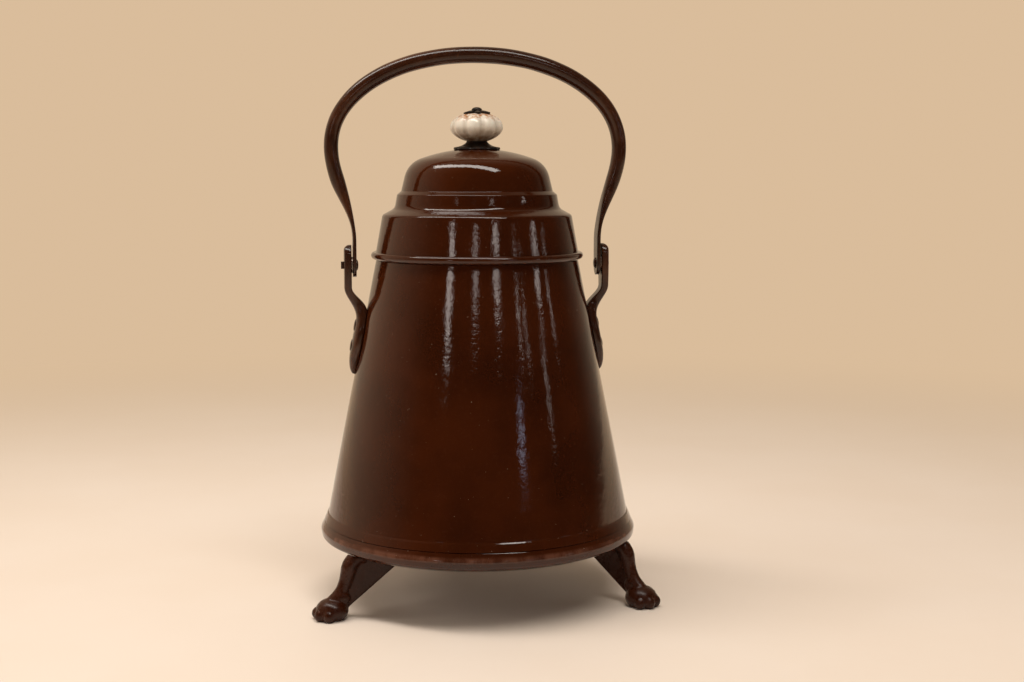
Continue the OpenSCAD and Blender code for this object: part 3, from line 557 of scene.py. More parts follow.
def porcelain(name):
    """Cream glaze, rusty under the calyx, with painted shade over its lower half and darker brown in its
    grooves.
    """
    look = bpy.context.scene.kettle_finish
    sizes = bpy.context.scene.kettle_knob
    finish = Finish(name)
    wide_z = sizes.under_z + sizes.under_h
    top_z = wide_z + sizes.over_h
    runs = finish.noise(230, 4, 0.6, finish.stretched(1.0, 1.0, 0.25))
    patches = finish.band(finish.noise(120, 3), 0.35, 0.7)
    colour = finish.blend(patches, look.porcelain, look.porcelain_grey)
    near_top = finish.band(finish.height(), top_z - 8 * MM, top_z - 2.5 * MM)
    rusty = finish.math("MULTIPLY", near_top, finish.band(runs, 0.40, 0.58, 0.10, 0.95))
    colour = finish.blend(rusty, colour, look.stain)
    # Painted shade and reflection of the lid: the lower half turns dark brown towards the underside
    low = finish.band(finish.height(), sizes.under_z, wide_z + 1 * MM, 1.0, 0.0)
    grime_and_shade = finish.math("MULTIPLY", low, finish.band(runs, 0.25, 0.65, 0.6, 1.0))
    colour = finish.blend(grime_and_shade, colour, look.grime_and_shade)
    sector = finish.math("ABSOLUTE", finish.math("SINE", finish.lobe_angle(sizes)))
    grooves = finish.band(sector, 0.80, 1.0, 0.0, 0.22)
    hollow = finish.math("MULTIPLY", grooves, finish.band(runs, 0.2, 0.6, 0.5, 1.0))
    colour = finish.blend(hollow, colour, look.grime_and_shade)
    crazing = finish.add(
        "ShaderNodeTexVoronoi", {"Vector": finish.place, "Scale": 420.0}, feature="DISTANCE_TO_EDGE"
    ).outputs["Distance"]
    colour = finish.blend(finish.band(crazing, 0.0, 0.05, 0.16, 0.0), colour, look.stain)
    finish.link(colour, "Base Color")
    finish.link(finish.band(finish.noise(90, 4), 0.3, 0.7, 0.10, 0.22), "Roughness")
    finish.shader.inputs["IOR"].default_value = 1.52
    finish.shader.inputs["Subsurface Weight"].default_value = 0.12
    finish.shader.inputs["Subsurface Radius"].default_value = (0.003, 0.002, 0.0015)
    finish.shader.inputs["Subsurface Scale"].default_value = 0.5
    finish.link(finish.bump(finish.noise(260, 2), 0.00004), "Normal")
    return finish.material


def plain_steel(name):
    """Dull steel with brown bloom."""
    look = bpy.context.scene.kettle_finish
    finish = Finish(name)
    bloom = finish.band(finish.noise(260, 6, 0.7), 0.42, 0.66, 0.0, 0.85)
    finish.link(finish.blend(bloom, look.steel, look.rust), "Base Color")
    finish.shader.inputs["Metallic"].default_value = 0.8
    finish.link(finish.band(finish.noise(200, 5, 0.7), 0.3, 0.7, 0.32, 0.6), "Roughness")
    finish.link(finish.bump(finish.noise(800, 4, 0.6), 0.00004), "Normal")
    return finish.material


def shared(name, make, *settings):
    """The named material, made the first time it is asked for."""
    return bpy.data.materials.get(name) or make(name, *settings)


# ---------------------------------------------------------------------------
# Wall and ring
# ---------------------------------------------------------------------------


def wall_taper(sizes):
    return (sizes.crease_r - sizes.top_r) / (sizes.top_z - sizes.foot_z - sizes.ring_h)


def wall_radius(sizes, z):
    return sizes.crease_r - wall_taper(sizes) * (z - sizes.foot_z - sizes.ring_h)


def outer_line(sizes):
    """Outer line of wall and ring, from the lid seat down to the ring's inner edge."""
    crease_z = sizes.foot_z + sizes.ring_h
    ring_r = sizes.crease_r + sizes.ring_w
    return rounded([
        (sizes.collar_r, sizes.top_z, 0),
        (sizes.top_r, sizes.top_z, 1.2 * MM),
        (sizes.crease_r, crease_z, sizes.crease_fillet),
        (sizes.crease_r + sizes.crease_step, crease_z - 1.2 * sizes.crease_step, sizes.crease_fillet),
        (ring_r, sizes.foot_z + sizes.nose_h, sizes.nose_fillet),
        (ring_r - sizes.nose_lean, sizes.foot_z + sizes.under_h, sizes.under_fillet),
        (ring_r - sizes.under_w, sizes.foot_z, 0.6 * MM),
        (ring_r - sizes.under_w, sizes.foot_z + 3 * MM, 0),
    ])


def line_radius(line, z):
    """Radius at which a line that runs downward passes a height."""
    for a, b in zip(line, line[1:]):
        if a.y >= z > b.y:
            return mix(a.x, b.x, (a.y - z) / (a.y - b.y))
    raise ValueError(f"the line doesn't pass the height {z}")


def spun(sway, seed):
    """Small unevenness of a spun shell, the same on both of its faces."""

    def shape(a, r, z):
        place = Vector((2.2 * math.cos(a), 2.2 * math.sin(a), z * 9 + seed))
        return r + sway * noise.noise(place), z

    return shape


class KETTLE_OT_wall(bpy.types.Operator):
    """Build the tapered enamelled wall."""

    bl_idname = "kettle.wall"
    bl_label = "Wall"

    def execute(self, context):
        sizes = context.scene.kettle_wall
        seam_z = sizes.foot_z + sizes.seam_h
        pan_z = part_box("bottom_pan")[0].z
        across = sizes.sheet * math.sqrt(1 + wall_taper(sizes) ** 2)
        line = outer_line(sizes)
        seam_r = line_radius(line, seam_z)
        lip = 0.5 * MM
        outer = [p for p in line if p.y > seam_z + lip]
        outer += [Vector((seam_r - 0.15 * MM, seam_z + 0.2 * MM)), Vector((seam_r - lip, seam_z))]
        inner = [
            Vector((wall_radius(sizes, seam_z), seam_z)),
            Vector((wall_radius(sizes, pan_z), pan_z)),
            Vector((wall_radius(sizes, pan_z) - across, pan_z)),
            Vector((wall_radius(sizes, sizes.top_z - sizes.sheet) - across, sizes.top_z - sizes.sheet)),
            Vector((sizes.collar_r, sizes.top_z - sizes.sheet)),
        ]
        section = divided(outer + inner, 6 * MM)
        piece = turned("kettle_wall", section, spun(sizes.sway, 3.0))
        dress(piece, shared("kettle_enamel", enamel), "kettle", "brown_enamel", "body_shell")
        return {"FINISHED"}


class KETTLE_OT_ring(bpy.types.Operator):
    """Build the moulded base ring."""

    bl_idname = "kettle.ring"
    bl_label = "Base ring"

    def execute(self, context):
        sizes = context.scene.kettle_wall
        seam_z = sizes.foot_z + sizes.seam_h
        pan_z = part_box("bottom_pan")[0].z
        line = outer_line(sizes)
        seam_r = line_radius(line, seam_z)
        lip = 1.4 * MM
        top = [
            Vector((wall_radius(sizes, seam_z), seam_z)),
            Vector((seam_r - 0.7 * lip, seam_z - 0.05 * lip)),
            Vector((seam_r - 0.25 * lip, seam_z - 0.3 * lip)),
            Vector((seam_r, seam_z - 0.75 * lip)),
        ]
        nose = [p for p in line if p.y < seam_z - lip]
        ring_in_r = nose[-1].x
        section = top + nose + [Vector((ring_in_r, pan_z)), Vector((wall_radius(sizes, pan_z), pan_z))]
        piece = turned("kettle_base_ring", divided(section, 4 * MM), spun(sizes.sway, 3.0))
        nose_z = sizes.foot_z + sizes.nose_h
        # The lighter band round the ring's nose is wear and a painted highlight
        material = shared("ring_enamel", enamel, nose_z - 2 * MM, nose_z + 4 * MM)
        dress(piece, material, "kettle", "brown_enamel", "base_ring")
        return {"FINISHED"}


# ---------------------------------------------------------------------------
# Lid
# ---------------------------------------------------------------------------


def lid_line(sizes):
    """Outer line of the lid, from the skirt's foot up to the screw hole."""
    shoulder_r = sizes.foot_r - sizes.skirt_taper
    cove_r = shoulder_r - sizes.shoulder_w
    step_r = cove_r - sizes.step_taper
    dome_r = step_r - sizes.ledge_w
    dome_top_r = dome_r - sizes.dome_taper
    crown_r = dome_top_r - sizes.crown_in
    shoulder_z = sizes.foot_z + sizes.skirt_h
    cove_z = shoulder_z + sizes.shoulder_rise
    step_z = cove_z + sizes.step_h
    dome_z = step_z + sizes.ledge_rise
    ball_r = (crown_r**2 + sizes.crown_rise**2) / (2 * sizes.crown_rise)
    crown_angle = math.asin(crown_r / ball_r)
    dome_top_z = dome_z + sizes.dome_h
    crown_edge_z = dome_top_z + math.tan(crown_angle) * sizes.crown_in
    crown_z = crown_edge_z + sizes.crown_rise
    line = rounded([
        (sizes.foot_r, sizes.foot_z, 0),
        (shoulder_r, shoulder_z, 3.5 * MM),
        (cove_r, cove_z, 6 * MM),
        (step_r, step_z, 1.2 * MM),
        (dome_r, dome_z, 1.0 * MM),
        (dome_top_r, dome_top_z, sizes.corner_r),
        (crown_r, crown_edge_z, 0),
    ])
    hole_angle = math.asin(sizes.hole_r / ball_r)
    steps = 12
    for i in range(1, steps + 1):
        a = mix(crown_angle, hole_angle, i / steps)
        line.append(Vector((ball_r * math.sin(a), crown_z - ball_r * (1 - math.cos(a)))))
    return line


class KETTLE_OT_lid(bpy.types.Operator):
    """Build the stepped lid with its rolled bead."""

    bl_idname = "kettle.lid"
    bl_label = "Lid"

    def execute(self, context):
        sizes = context.scene.kettle_lid
        wall = context.scene.kettle_wall
        line = lid_line(sizes)
        bead = Vector((sizes.foot_r, sizes.foot_z + sizes.bead_r))
        start, turn, steps = math.radians(-90), math.radians(201), 20
        turns = [start + turn * i / steps for i in range(steps + 1)]
        roll = [bead + sizes.bead_r * Vector((math.cos(a), math.sin(a))) for a in turns]
        outer = roll + [p for p in line if p.y > roll[-1].y + 0.3 * MM]
        inner = [p for p in beside(line, wall.sheet) if p.y > sizes.foot_z + 2 * wall.sheet]
        inner[-1].x = sizes.hole_r
        hem_x = sizes.foot_r - sizes.hem
        fold = [
            Vector((inner[0].x - 0.2 * MM, sizes.foot_z + 1.3 * wall.sheet)),
            Vector((hem_x, sizes.foot_z + wall.sheet)),
            Vector((hem_x, sizes.foot_z)),
        ]
        section = divided(outer + inner[::-1] + fold, 4 * MM)
        piece = turned("lid_enamel", section, spun(wall.sway, 11.0), sharp=50)
        dress(piece, shared("lid_enamel", enamel, 0.0, 0.0, 1.1), "lid", "brown_enamel", "lid_shell")
        return {"FINISHED"}


# ---------------------------------------------------------------------------
# Knob
# ---------------------------------------------------------------------------


def knob_profile(sizes):
    """(radius, height) rows of the porcelain, from its underside to the screw hole."""
    rows = 14
    lower_power, upper_power = 1.85, 2.3
    wide_z = sizes.under_z + sizes.under_h
    low_angle = math.acos((sizes.neck_r / sizes.radius) ** (lower_power / 2))
    high_angle = math.acos((sizes.screw_r / sizes.radius) ** (upper_power / 2))
    profile = []
    for i in range(rows, 0, -1):
        a = low_angle * i / rows
        share = (math.sin(a) / math.sin(low_angle)) ** (2 / lower_power)
        profile.append((sizes.radius * math.cos(a) ** (2 / lower_power), wide_z - share * sizes.under_h))
    for i in range(rows + 1):
        a = high_angle * i / rows
        share = (math.sin(a) / math.sin(high_angle)) ** (2 / upper_power)
        profile.append((sizes.radius * math.cos(a) ** (2 / upper_power), wide_z + share * sizes.over_h))
    return profile


def lobe(sizes, a):
    """Depth of the groove at an angle, from 0 on a lobe's ridge to 1 in the groove."""
    return (1 - abs(math.cos(sizes.lobes * (a - sizes.turn) / 2))) ** 1.15


class KETTLE_OT_knob(bpy.types.Operator):
    """Build the lobed porcelain knob, its leafed calyx and its flared iron foot."""

    bl_idname = "kettle.knob"
    bl_label = "Knob"

    def execute(self, context):
        sizes = context.scene.kettle_knob
        self.porcelain(sizes)
        self.foot(sizes)
        self.calyx(sizes)
        return {"FINISHED"}

    def porcelain(self, sizes):
        def shape(a, r, z):
            share = min(1.0, (r - sizes.screw_r) / (sizes.radius - sizes.screw_r))
            return r - sizes.groove * lobe(sizes, a) * share, z

        rings = [ring_of(r, z, 270, shape) for r, z in knob_profile(sizes)]
        piece = skin("lid_knob", rings, sharp=60)
        dress(piece, shared("knob_porcelain", porcelain), "lid", "porcelain", "knob")

    def foot(self, sizes):
        steps, lumps = 14, 8
        rim_t = 0.9 * MM
        hollowness = 1.7
        section = [
            Vector((sizes.rim_r - 0.6 * MM, sizes.foot_z)),
            Vector((sizes.rim_r, sizes.foot_z + 0.5 * MM)),
        ]
        for i in range(steps + 1):
            rise = i / steps
            r = mix(sizes.rim_r - 0.3 * MM, sizes.neck_r, 1 - (1 - rise) ** hollowness)
            section.append(Vector((r, mix(sizes.foot_z + rim_t, sizes.under_z, rise))))
        section += [
            Vector((sizes.screw_r, sizes.under_z)),
            Vector((sizes.screw_r, sizes.under_z - 2 * MM)),
            Vector((sizes.rim_r - 3 * MM, sizes.foot_z + 0.4 * MM)),
        ]

        petal_start = 0.66 * sizes.rim_r
        petal_lift, petal_notch = 1.0 * MM, 1.3 * MM

        def petals(a, r, z):
            swell = abs(math.cos(lumps * a / 2)) ** 0.7
            edge = smooth((r - petal_start) / (sizes.rim_r - petal_start))
            lift = edge * petal_lift * swell if z > sizes.foot_z + 0.8 * MM else 0.0
            return r - edge * petal_notch * (1 - swell), z + lift

        piece = turned("knob_foot", divided(section, 2 * MM), petals, around=192)
        dress(piece, shared("dark_iron", knob_iron), "lid", "knob_iron", "knob_base")

    def calyx(self, sizes):
        """Pointed leaves that droop over the porcelain from a round middle."""
        rows, around = 12, 216
        rest_gap, edge_t, rib_h, notch = 0.08 * MM, 1.2 * MM, 0.5 * MM, 0.5
        profile = [(z, r) for r, z in knob_profile(sizes)][-15:]
        top_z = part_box("knob_cap")[1].z

        def surface(r):
            for (z0, r0), (z1, r1) in zip(profile, profile[1:]):
                if r0 >= r >= r1:
                    return mix(z0, z1, (r0 - r) / max(r0 - r1, 1e-9))
            return profile[-1][0]

        def off_rib(a):
            return abs(((a * sizes.leaves / math.tau) % 1.0) * 2 - 1)

        def reach(a):
            return mix(sizes.leaf_r, notch * sizes.leaf_r, smooth(off_rib(a)) ** 0.8)

        upper, lower = [], []
        for i in range(rows + 1):
            share = i / rows
            top, bottom = [], []
            for k in range(around):
                a = math.tau * k / around
                r = mix(sizes.screw_r, reach(a), share)
                rest = surface(r) + rest_gap
                crown = mix(top_z, rest + edge_t, smooth(share * 1.05))
                rib = rib_h * max(0.0, 1 - 3 * off_rib(a)) * share
                top.append(Vector((r * math.cos(a), r * math.sin(a), max(crown + rib, rest + 0.5 * MM))))
                bottom.append(Vector((r * math.cos(a), r * math.sin(a), rest)))
            upper.append(top)
            lower.append(bottom)
        piece = skin("knob_calyx", upper + lower[::-1], closed=True, sharp=50)
        dress(piece, shared("dark_iron", knob_iron), "lid", "knob_iron", "knob_cap")


# ---------------------------------------------------------------------------
# Ears
# ---------------------------------------------------------------------------


def ear_width(sizes):
    """Curve of (height above the pivot, half width), from the ear's top to its tip."""
    strap = sizes.strap_half_w
    arc = []
    for degrees in range(90, -1, -15):
        a = math.radians(degrees)
        arc.append((sizes.top_h - strap * (1 - math.sin(a)), strap * math.cos(a)))
    shoulder = sizes.bend_foot + sizes.shoulder_drop
    full, half, point = 0.93, 0.5, 0.02
    neck_top = -sizes.bend_top - 9 * MM
    neck_foot = 8 * MM - sizes.bend_foot
    leaf_start = 10 * MM - shoulder
    tip_h = 0.4 * sizes.leaf_taper
    rest = [
        (-strap, strap),
        (neck_top, sizes.neck_half_w),
        (neck_foot, sizes.neck_half_w + 1.5 * MM),
        (leaf_start, full * sizes.leaf_half_w),
        (-shoulder, sizes.leaf_half_w),
        (sizes.leaf_taper - sizes.drop, full * sizes.leaf_half_w),
        (tip_h - sizes.drop, half * sizes.leaf_half_w),
        (-sizes.drop, point * sizes.leaf_half_w),
    ]
    return smooth_curve([Vector(p) for p in arc + rest], 8)


class KETTLE_OT_ears(bpy.types.Operator):
    """Build the two forged ears with their leaf plates."""

    bl_idname = "kettle.ears"
    bl_label = "Ears"

    def execute(self, context):
        sizes = context.scene.kettle_ear
        wall = context.scene.kettle_wall
        for side, turn in SIDES.items():
            rings = [self.ring(sizes, wall, p.x, max(p.y, 0.1 * MM)) for p in ear_width(sizes)]
            piece = skin(f"{side}_ear_forging", rings, sharp=60)
            piece.data.transform(Matrix.Rotation(turn, 4, "Z"))
            piece.data.update()
            material = shared("ear_iron", forged_iron, (1.0, 1.0, 0.4))
            dress(piece, material, "kettle", "black_iron", f"{side}_ear")
        return {"FINISHED"}

    def ring(self, sizes, wall, rise, half_w):
        """Rounded section of the ear at a height: a strap above, a domed leaf on the wall below."""
        z = sizes.pivot_z + rise
        ear_out_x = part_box("right_ear")[1].x
        strap_x = ear_out_x - sizes.strap_t
        inner_foot = sizes.bend_foot - sizes.bend_lead
        outer_bend = smooth((rise + sizes.bend_foot) / (sizes.bend_foot - sizes.bend_top))
        inner_bend = smooth((rise + inner_foot) / (inner_foot - sizes.bend_top))
        t = min(1.0, (rise + sizes.drop) / sizes.leaf_taper)
        leaf = sizes.leaf_t * math.sqrt(max(0.0, 1 - (1 - t) ** 2))
        out_x = mix(wall_radius(wall, z) + leaf, ear_out_x, outer_bend)
        over = max(0.0, rise - sizes.top_h + sizes.top_round)
        out_x -= sizes.top_round - math.sqrt(max(0.0, sizes.top_round**2 - over**2))
        leaf_squareness, strap_squareness, flatness = 2.5, 5.0, 0.25
        leaf_edge, strap_edge = 0.3, 0.5
        roundness = 2 / mix(leaf_squareness, strap_squareness, inner_bend)
        points = []
        around = 32
        for k in range(around):
            a = math.tau * k / around
            c, s = math.cos(a), math.sin(a)
            y = half_w * signed_power(c, roundness if s > 0 else flatness)
            on_wall = math.sqrt(wall_radius(wall, z) ** 2 - y * y) + 0.05 * MM
            in_x = mix(on_wall, strap_x, inner_bend)
            edge_x = mix(in_x, out_x, mix(leaf_edge, strap_edge, inner_bend))
            x = mix(edge_x, out_x, s**roundness) if s > 0 else mix(edge_x, in_x, (-s) ** flatness)
            points.append(Vector((x, y, z)))
        return points


# ---------------------------------------------------------------------------
# Handle
# ---------------------------------------------------------------------------


class KETTLE_OT_handle(bpy.types.Operator):
    """Build the forged swing handle from its flattened ends over the crown."""

    bl_idname = "kettle.handle"
    bl_label = "Handle"

    def execute(self, context):
        sizes = context.scene.kettle_handle
        pivot_z = context.scene.kettle_ear.pivot_z
        top_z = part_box("bail")[1].z - sizes.crown_t / 2
        half = self.half_line(sizes, pivot_z, top_z)
        line = half + [Vector((-p.x, p.y)) for p in half[-2::-1]]
        rings = []
        for i, p in enumerate(line):
            rings.append(self.ring(sizes, pivot_z, top_z, p, direction(line, i)))
        piece = skin("handle_bar", rings, sharp=60)
        for side in (-1, 1):
            cut_away(piece, self.pin_hole(sizes, side, pivot_z))
        finished(piece, 60)
        material = shared("handle_iron", forged_iron, (0.25, 1.0, 0.25))
        dress(piece, material, "handle", "black_iron", "bail")
        return {"FINISHED"}

    def half_line(self, sizes, pivot_z, top_z):
        """Centre line on the +X side, from the end below the pivot up to the crown."""
        mid_x = sizes.strip_x + sizes.strip_t / 2
        wide_z = top_z - sizes.crown_drop
        leg_z = pivot_z + sizes.leg_h
        end_z = pivot_z - sizes.end_drop
        end_steps, leg_steps, bow_steps, crown_steps = 16, 6, 24, 48
        line = []
        for i in range(end_steps):
            fall = sizes.strip_w / 2 * math.cos(math.pi / 2 * i / end_steps)
            line.append(Vector((mid_x, end_z - 0.999 * fall)))
        line += [Vector((mid_x, mix(end_z, leg_z, i / leg_steps))) for i in range(leg_steps + 1)]
        for i in range(1, bow_steps):
            t = i / bow_steps
            bowed_x = mid_x + sizes.bow * (1 - math.cos(math.pi * t)) / 2
            line.append(Vector((bowed_x, mix(leg_z, wide_z, t))))
        for i in range(crown_steps + 1):
            a = math.pi / 2 * i / crown_steps
            x = (mid_x + sizes.bow) * math.cos(a) ** (2 / sizes.power)
            line.append(Vector((x, wide_z + sizes.crown_drop * math.sin(a) ** (2 / sizes.power))))
        return line

    def ring(self, sizes, pivot_z, top_z, p, along):
        """Section of the bar: a flat strip at the ends, an oval over the crown."""
        wide_z = top_z - sizes.crown_drop
        rise = p.y - pivot_z
        swell = smooth((rise - sizes.thin_h) / (sizes.thick_h - sizes.thin_h))
        crowned = smooth((p.y - wide_z) / sizes.crown_drop)
        thick = mix(mix(sizes.strip_t, sizes.side_t, swell), sizes.crown_t, crowned)
        deep = mix(sizes.strip_w, sizes.crown_d, swell)
        below = (-sizes.end_drop - rise) / (sizes.strip_w / 2)
        if below > 0:
            deep *= math.sqrt(max(0.0, 1 - below**2))
        squareness, ovalness = 6.0, 2.2
        eased = smooth((rise - sizes.leg_h) / (sizes.thick_h - sizes.leg_h))
        roundness = 2 / mix(squareness, ovalness, eased)
        across = Vector((along.y, -along.x))
        points = []
        around, dents = 36, 62
        for k in range(around):
            a = math.tau * k / around
            u = thick / 2 * signed_power(math.cos(a), roundness)
            v = deep / 2 * signed_power(math.sin(a), roundness)
            point = Vector((p.x + across.x * u, v, p.y + across.y * u))
            outward = Vector((across.x * math.cos(a), math.sin(a), across.y * math.cos(a)))
            points.append(point - swell * sizes.hammer * noise.noise(point * dents) * outward)
        return points

    def pin_hole(self, sizes, side, pivot_z):
        def end(x):
            return [
                Vector((side * x, sizes.pin_hole_r * math.cos(a), pivot_z + sizes.pin_hole_r * math.sin(a)))
                for a in (math.tau * k / 40 for k in range(40))
            ]

        return skin("pin_hole", [end(sizes.strip_x - 2 * MM), end(sizes.strip_x + sizes.strip_t + 2 * MM)])


# ---------------------------------------------------------------------------
# Feet
# ---------------------------------------------------------------------------


def ball(work, centre, radii, turn=0.0, rows=20):
    """Adds an ellipsoid, turned about the vertical, to a bmesh."""
    matrix = Matrix.Translation(centre) @ Matrix.Rotation(turn, 4, "Z") @ Matrix.Diagonal((*radii, 1))
    bmesh.ops.create_uvsphere(work, u_segments=2 * rows, v_segments=rows, radius=1.0, matrix=matrix)


def tube(work, line, radii, around=20):
    """Adds a round tube through points of the XZ plane to a bmesh."""
    rings = []
    for i, p in enumerate(line):
        along = direction(line, i)
        across = Vector((along.z, 0, -along.x))
        ring = []
        for k in range(around):
            a = math.tau * k / around
            out = math.cos(a) * across + math.sin(a) * Vector((0, 1, 0))
            ring.append(work.verts.new(p + radii[i] * out))
        rings.append(ring)
    for a, b in zip(rings, rings[1:]):
        for k in range(around):
            work.faces.new((a[k], a[(k + 1) % around], b[(k + 1) % around], b[k]))
    work.faces.new(rings[0])
    work.faces.new(rings[-1][::-1])


def plate(work, outline, thickness):
    """Adds a flat plate, whose outline lies in the XZ plane, to a bmesh."""
    front = [work.verts.new((x, -thickness / 2, z)) for x, z in outline]
    back = [work.verts.new((x, thickness / 2, z)) for x, z in outline]
    work.faces.new(front)
    work.faces.new(back[::-1])
    for i in range(len(outline)):
        n = (i + 1) % len(outline)
        work.faces.new((front[i], back[i], back[n], front[n]))


class KETTLE_OT_feet(bpy.types.Operator):
    """Cast the three cabriole feet with their paws."""

    bl_idname = "kettle.feet"
    bl_label = "Feet"

    def execute(self, context):
        sizes = context.scene.kettle_foot
        master = self.casting(context)
        for name, azimuth in FEET.items():
            piece = bpy.data.objects.new(f"{name}_paw", master.copy())
            place = (
                Matrix.Rotation(math.radians(azimuth), 4, "Z")
                @ Matrix.Translation((sizes.paw_r, 0, 0))
                @ Matrix.Rotation(sizes.twist, 4, "Z")
            )
            piece.data.transform(place)
            self.fit_under_ring(context, piece.data)
            finished(piece, 60)
            dress(piece, shared("cast_brown", cast_enamel), "kettle", "brown_casting", f"foot_{name}")
        bpy.data.meshes.remove(master)
        return {"FINISHED"}

    def casting(self, context):
        """One foot about the middle of its paw, with +X outward, as a single remeshed skin."""
        sizes = context.scene.kettle_foot
        foot_h = context.scene.kettle_wall.foot_z
        work = bmesh.new()
        spine = self.spine(sizes, foot_h)
        tube(work, [Vector((p.x, 0, p.y)) for p in spine], [p.z for p in spine])
        self.web(work, sizes, spine)
        self.paw(work, sizes)
        ankle_radii = (5.6 * MM, 2.6 * MM, 5.6 * MM)
        for side in (-1, 1):
            ball(work, Vector((-8.5 * MM, side * 4.2 * MM, 0.34 * foot_h)), ankle_radii)
        mesh = bpy.data.meshes.new("casting")
        bmesh.ops.recalc_face_normals(work, faces=work.faces)
        work.to_mesh(mesh)
        work.free()
        return self.remeshed(mesh, sizes.grain)

    def spine(self, sizes, foot_h):
        """Curve of (x, height, radius) from under the ring to the paw."""
        shape = [
            (-27, 1.03, 0.92), (-20, 1.0, 1.0), (-15.3, 0.88, 1.03), (-13.6, 0.74, 0.97),
            (-11.6, 0.6, 0.87), (-8.6, 0.45, 0.87), (-4, 0.31, 1.0), (1, 0.22, 1.0),
        ]
        return smooth_curve([Vector((x * MM, z * foot_h, r * sizes.spine_r)) for x, z, r in shape], 5)

    def web(self, work, sizes, spine):
        """Plate behind the spine, with the flange that lies under the ring and the pan."""
        flange_t, flange_in, flange_l, flange_w = 3.4 * MM, 12 * MM, 40 * MM, 38 * MM
        top_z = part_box("foot_back")[1].z - 3.5 * MM
        foot = Vector((-13 * MM, 8 * MM))
        top_x = foot.x - (top_z - foot.y) / math.tan(sizes.web_slope)
        outline = [(top_x, top_z), (spine[3].x, top_z)]
        outline += [(p.x, p.y) for p in spine[3:]] + [(0.0, foot.y), (foot.x, foot.y)]
        plate(work, outline, sizes.web_t)
        low_z, high_z = top_z - 0.4 * MM, top_z + flange_t
        in_x, out_x = top_x - flange_in, top_x + flange_l
        plate(work, [(in_x, low_z), (out_x, low_z), (out_x, high_z), (in_x, high_z)], flange_w)

    def paw(self, work, sizes):
        """Pad with four knuckled toes round its front."""
        ball(work, Vector((-1 * MM, 0, 6.6 * MM)), (sizes.pad_r, sizes.pad_r, 9.6 * MM))
        for degrees in (-66, -22, 22, 66):
            a = math.radians(degrees)
            out = Vector((math.cos(a), math.sin(a), 0))
            toe = out * (sizes.pad_r - 4 * MM) + Vector((0, 0, sizes.toe_r - 0.9 * MM))
            ball(work, toe, (6.0 * MM, 4.8 * MM, sizes.toe_r), a)

    def remeshed(self, mesh, grain):
        piece = bpy.data.objects.new("casting", mesh)
        bpy.context.scene.collection.objects.link(piece)
        remesh = piece.modifiers.new("Remesh", "REMESH")
        remesh.mode = "VOXEL"
        remesh.voxel_size = grain
        relax = piece.modifiers.new("Relax", "SMOOTH")
        relax.factor = 0.5
        relax.iterations = 16
        apply_modifiers(piece)
        result = piece.data
        bpy.data.objects.remove(piece)
        return result

    def fit_under_ring(self, context, mesh):
        """Flattens the sole on the table and the top against the ring's underside and the pan."""
        wall = context.scene.kettle_wall
        gap = 0.2 * MM
        ring_in_r = wall.crease_r + wall.ring_w - wall.under_w
        slope = wall.under_h / wall.under_w
        pan_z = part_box("bottom_pan")[0].z
        for v in mesh.vertices:
            r = math.hypot(v.co.x, v.co.y)
            under_ring = wall.foot_z - gap + slope * (r - ring_in_r)
            roof = pan_z if r < ring_in_r - gap else under_ring
            v.co.z = max(0.0, min(v.co.z, roof))
        mesh.update()


# ---------------------------------------------------------------------------
# Nodes that keep their own shape
# ---------------------------------------------------------------------------


class KETTLE_OT_fittings(bpy.types.Operator):
    """Finish the rivets, pins, washers, wires, collar and pan."""

    bl_idname = "kettle.fittings"
    bl_label = "Fittings"

    def execute(self, context):
        self.finish(shared("kettle_enamel", enamel), "bottom_pan", "neck_collar")
        steel = shared("steel", plain_steel)
        self.finish(steel, "mouth_wire", "base_wire", "lid_rim_wire", "knob_washer", "knob_nut")
        self.finish(steel, *(f"{side}_pivot_washer" for side in SIDES))
        iron = shared("ear_iron", forged_iron, (1.0, 1.0, 0.4))
        for side in SIDES:
            self.finish(iron, f"{side}_ear_rivets", f"{side}_pivot_pin")
        self.finish(iron, *(f"foot_{name}_rivets" for name in FEET))
        self.finish(shared("dark_iron", knob_iron), "knob_screw")
        return {"FINISHED"}

    def finish(self, material, *names):
        for name in names:
            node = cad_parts[name]
            for slot in node.material_slots:
                slot.material = material


# ---------------------------------------------------------------------------
# Stage
# ---------------------------------------------------------------------------


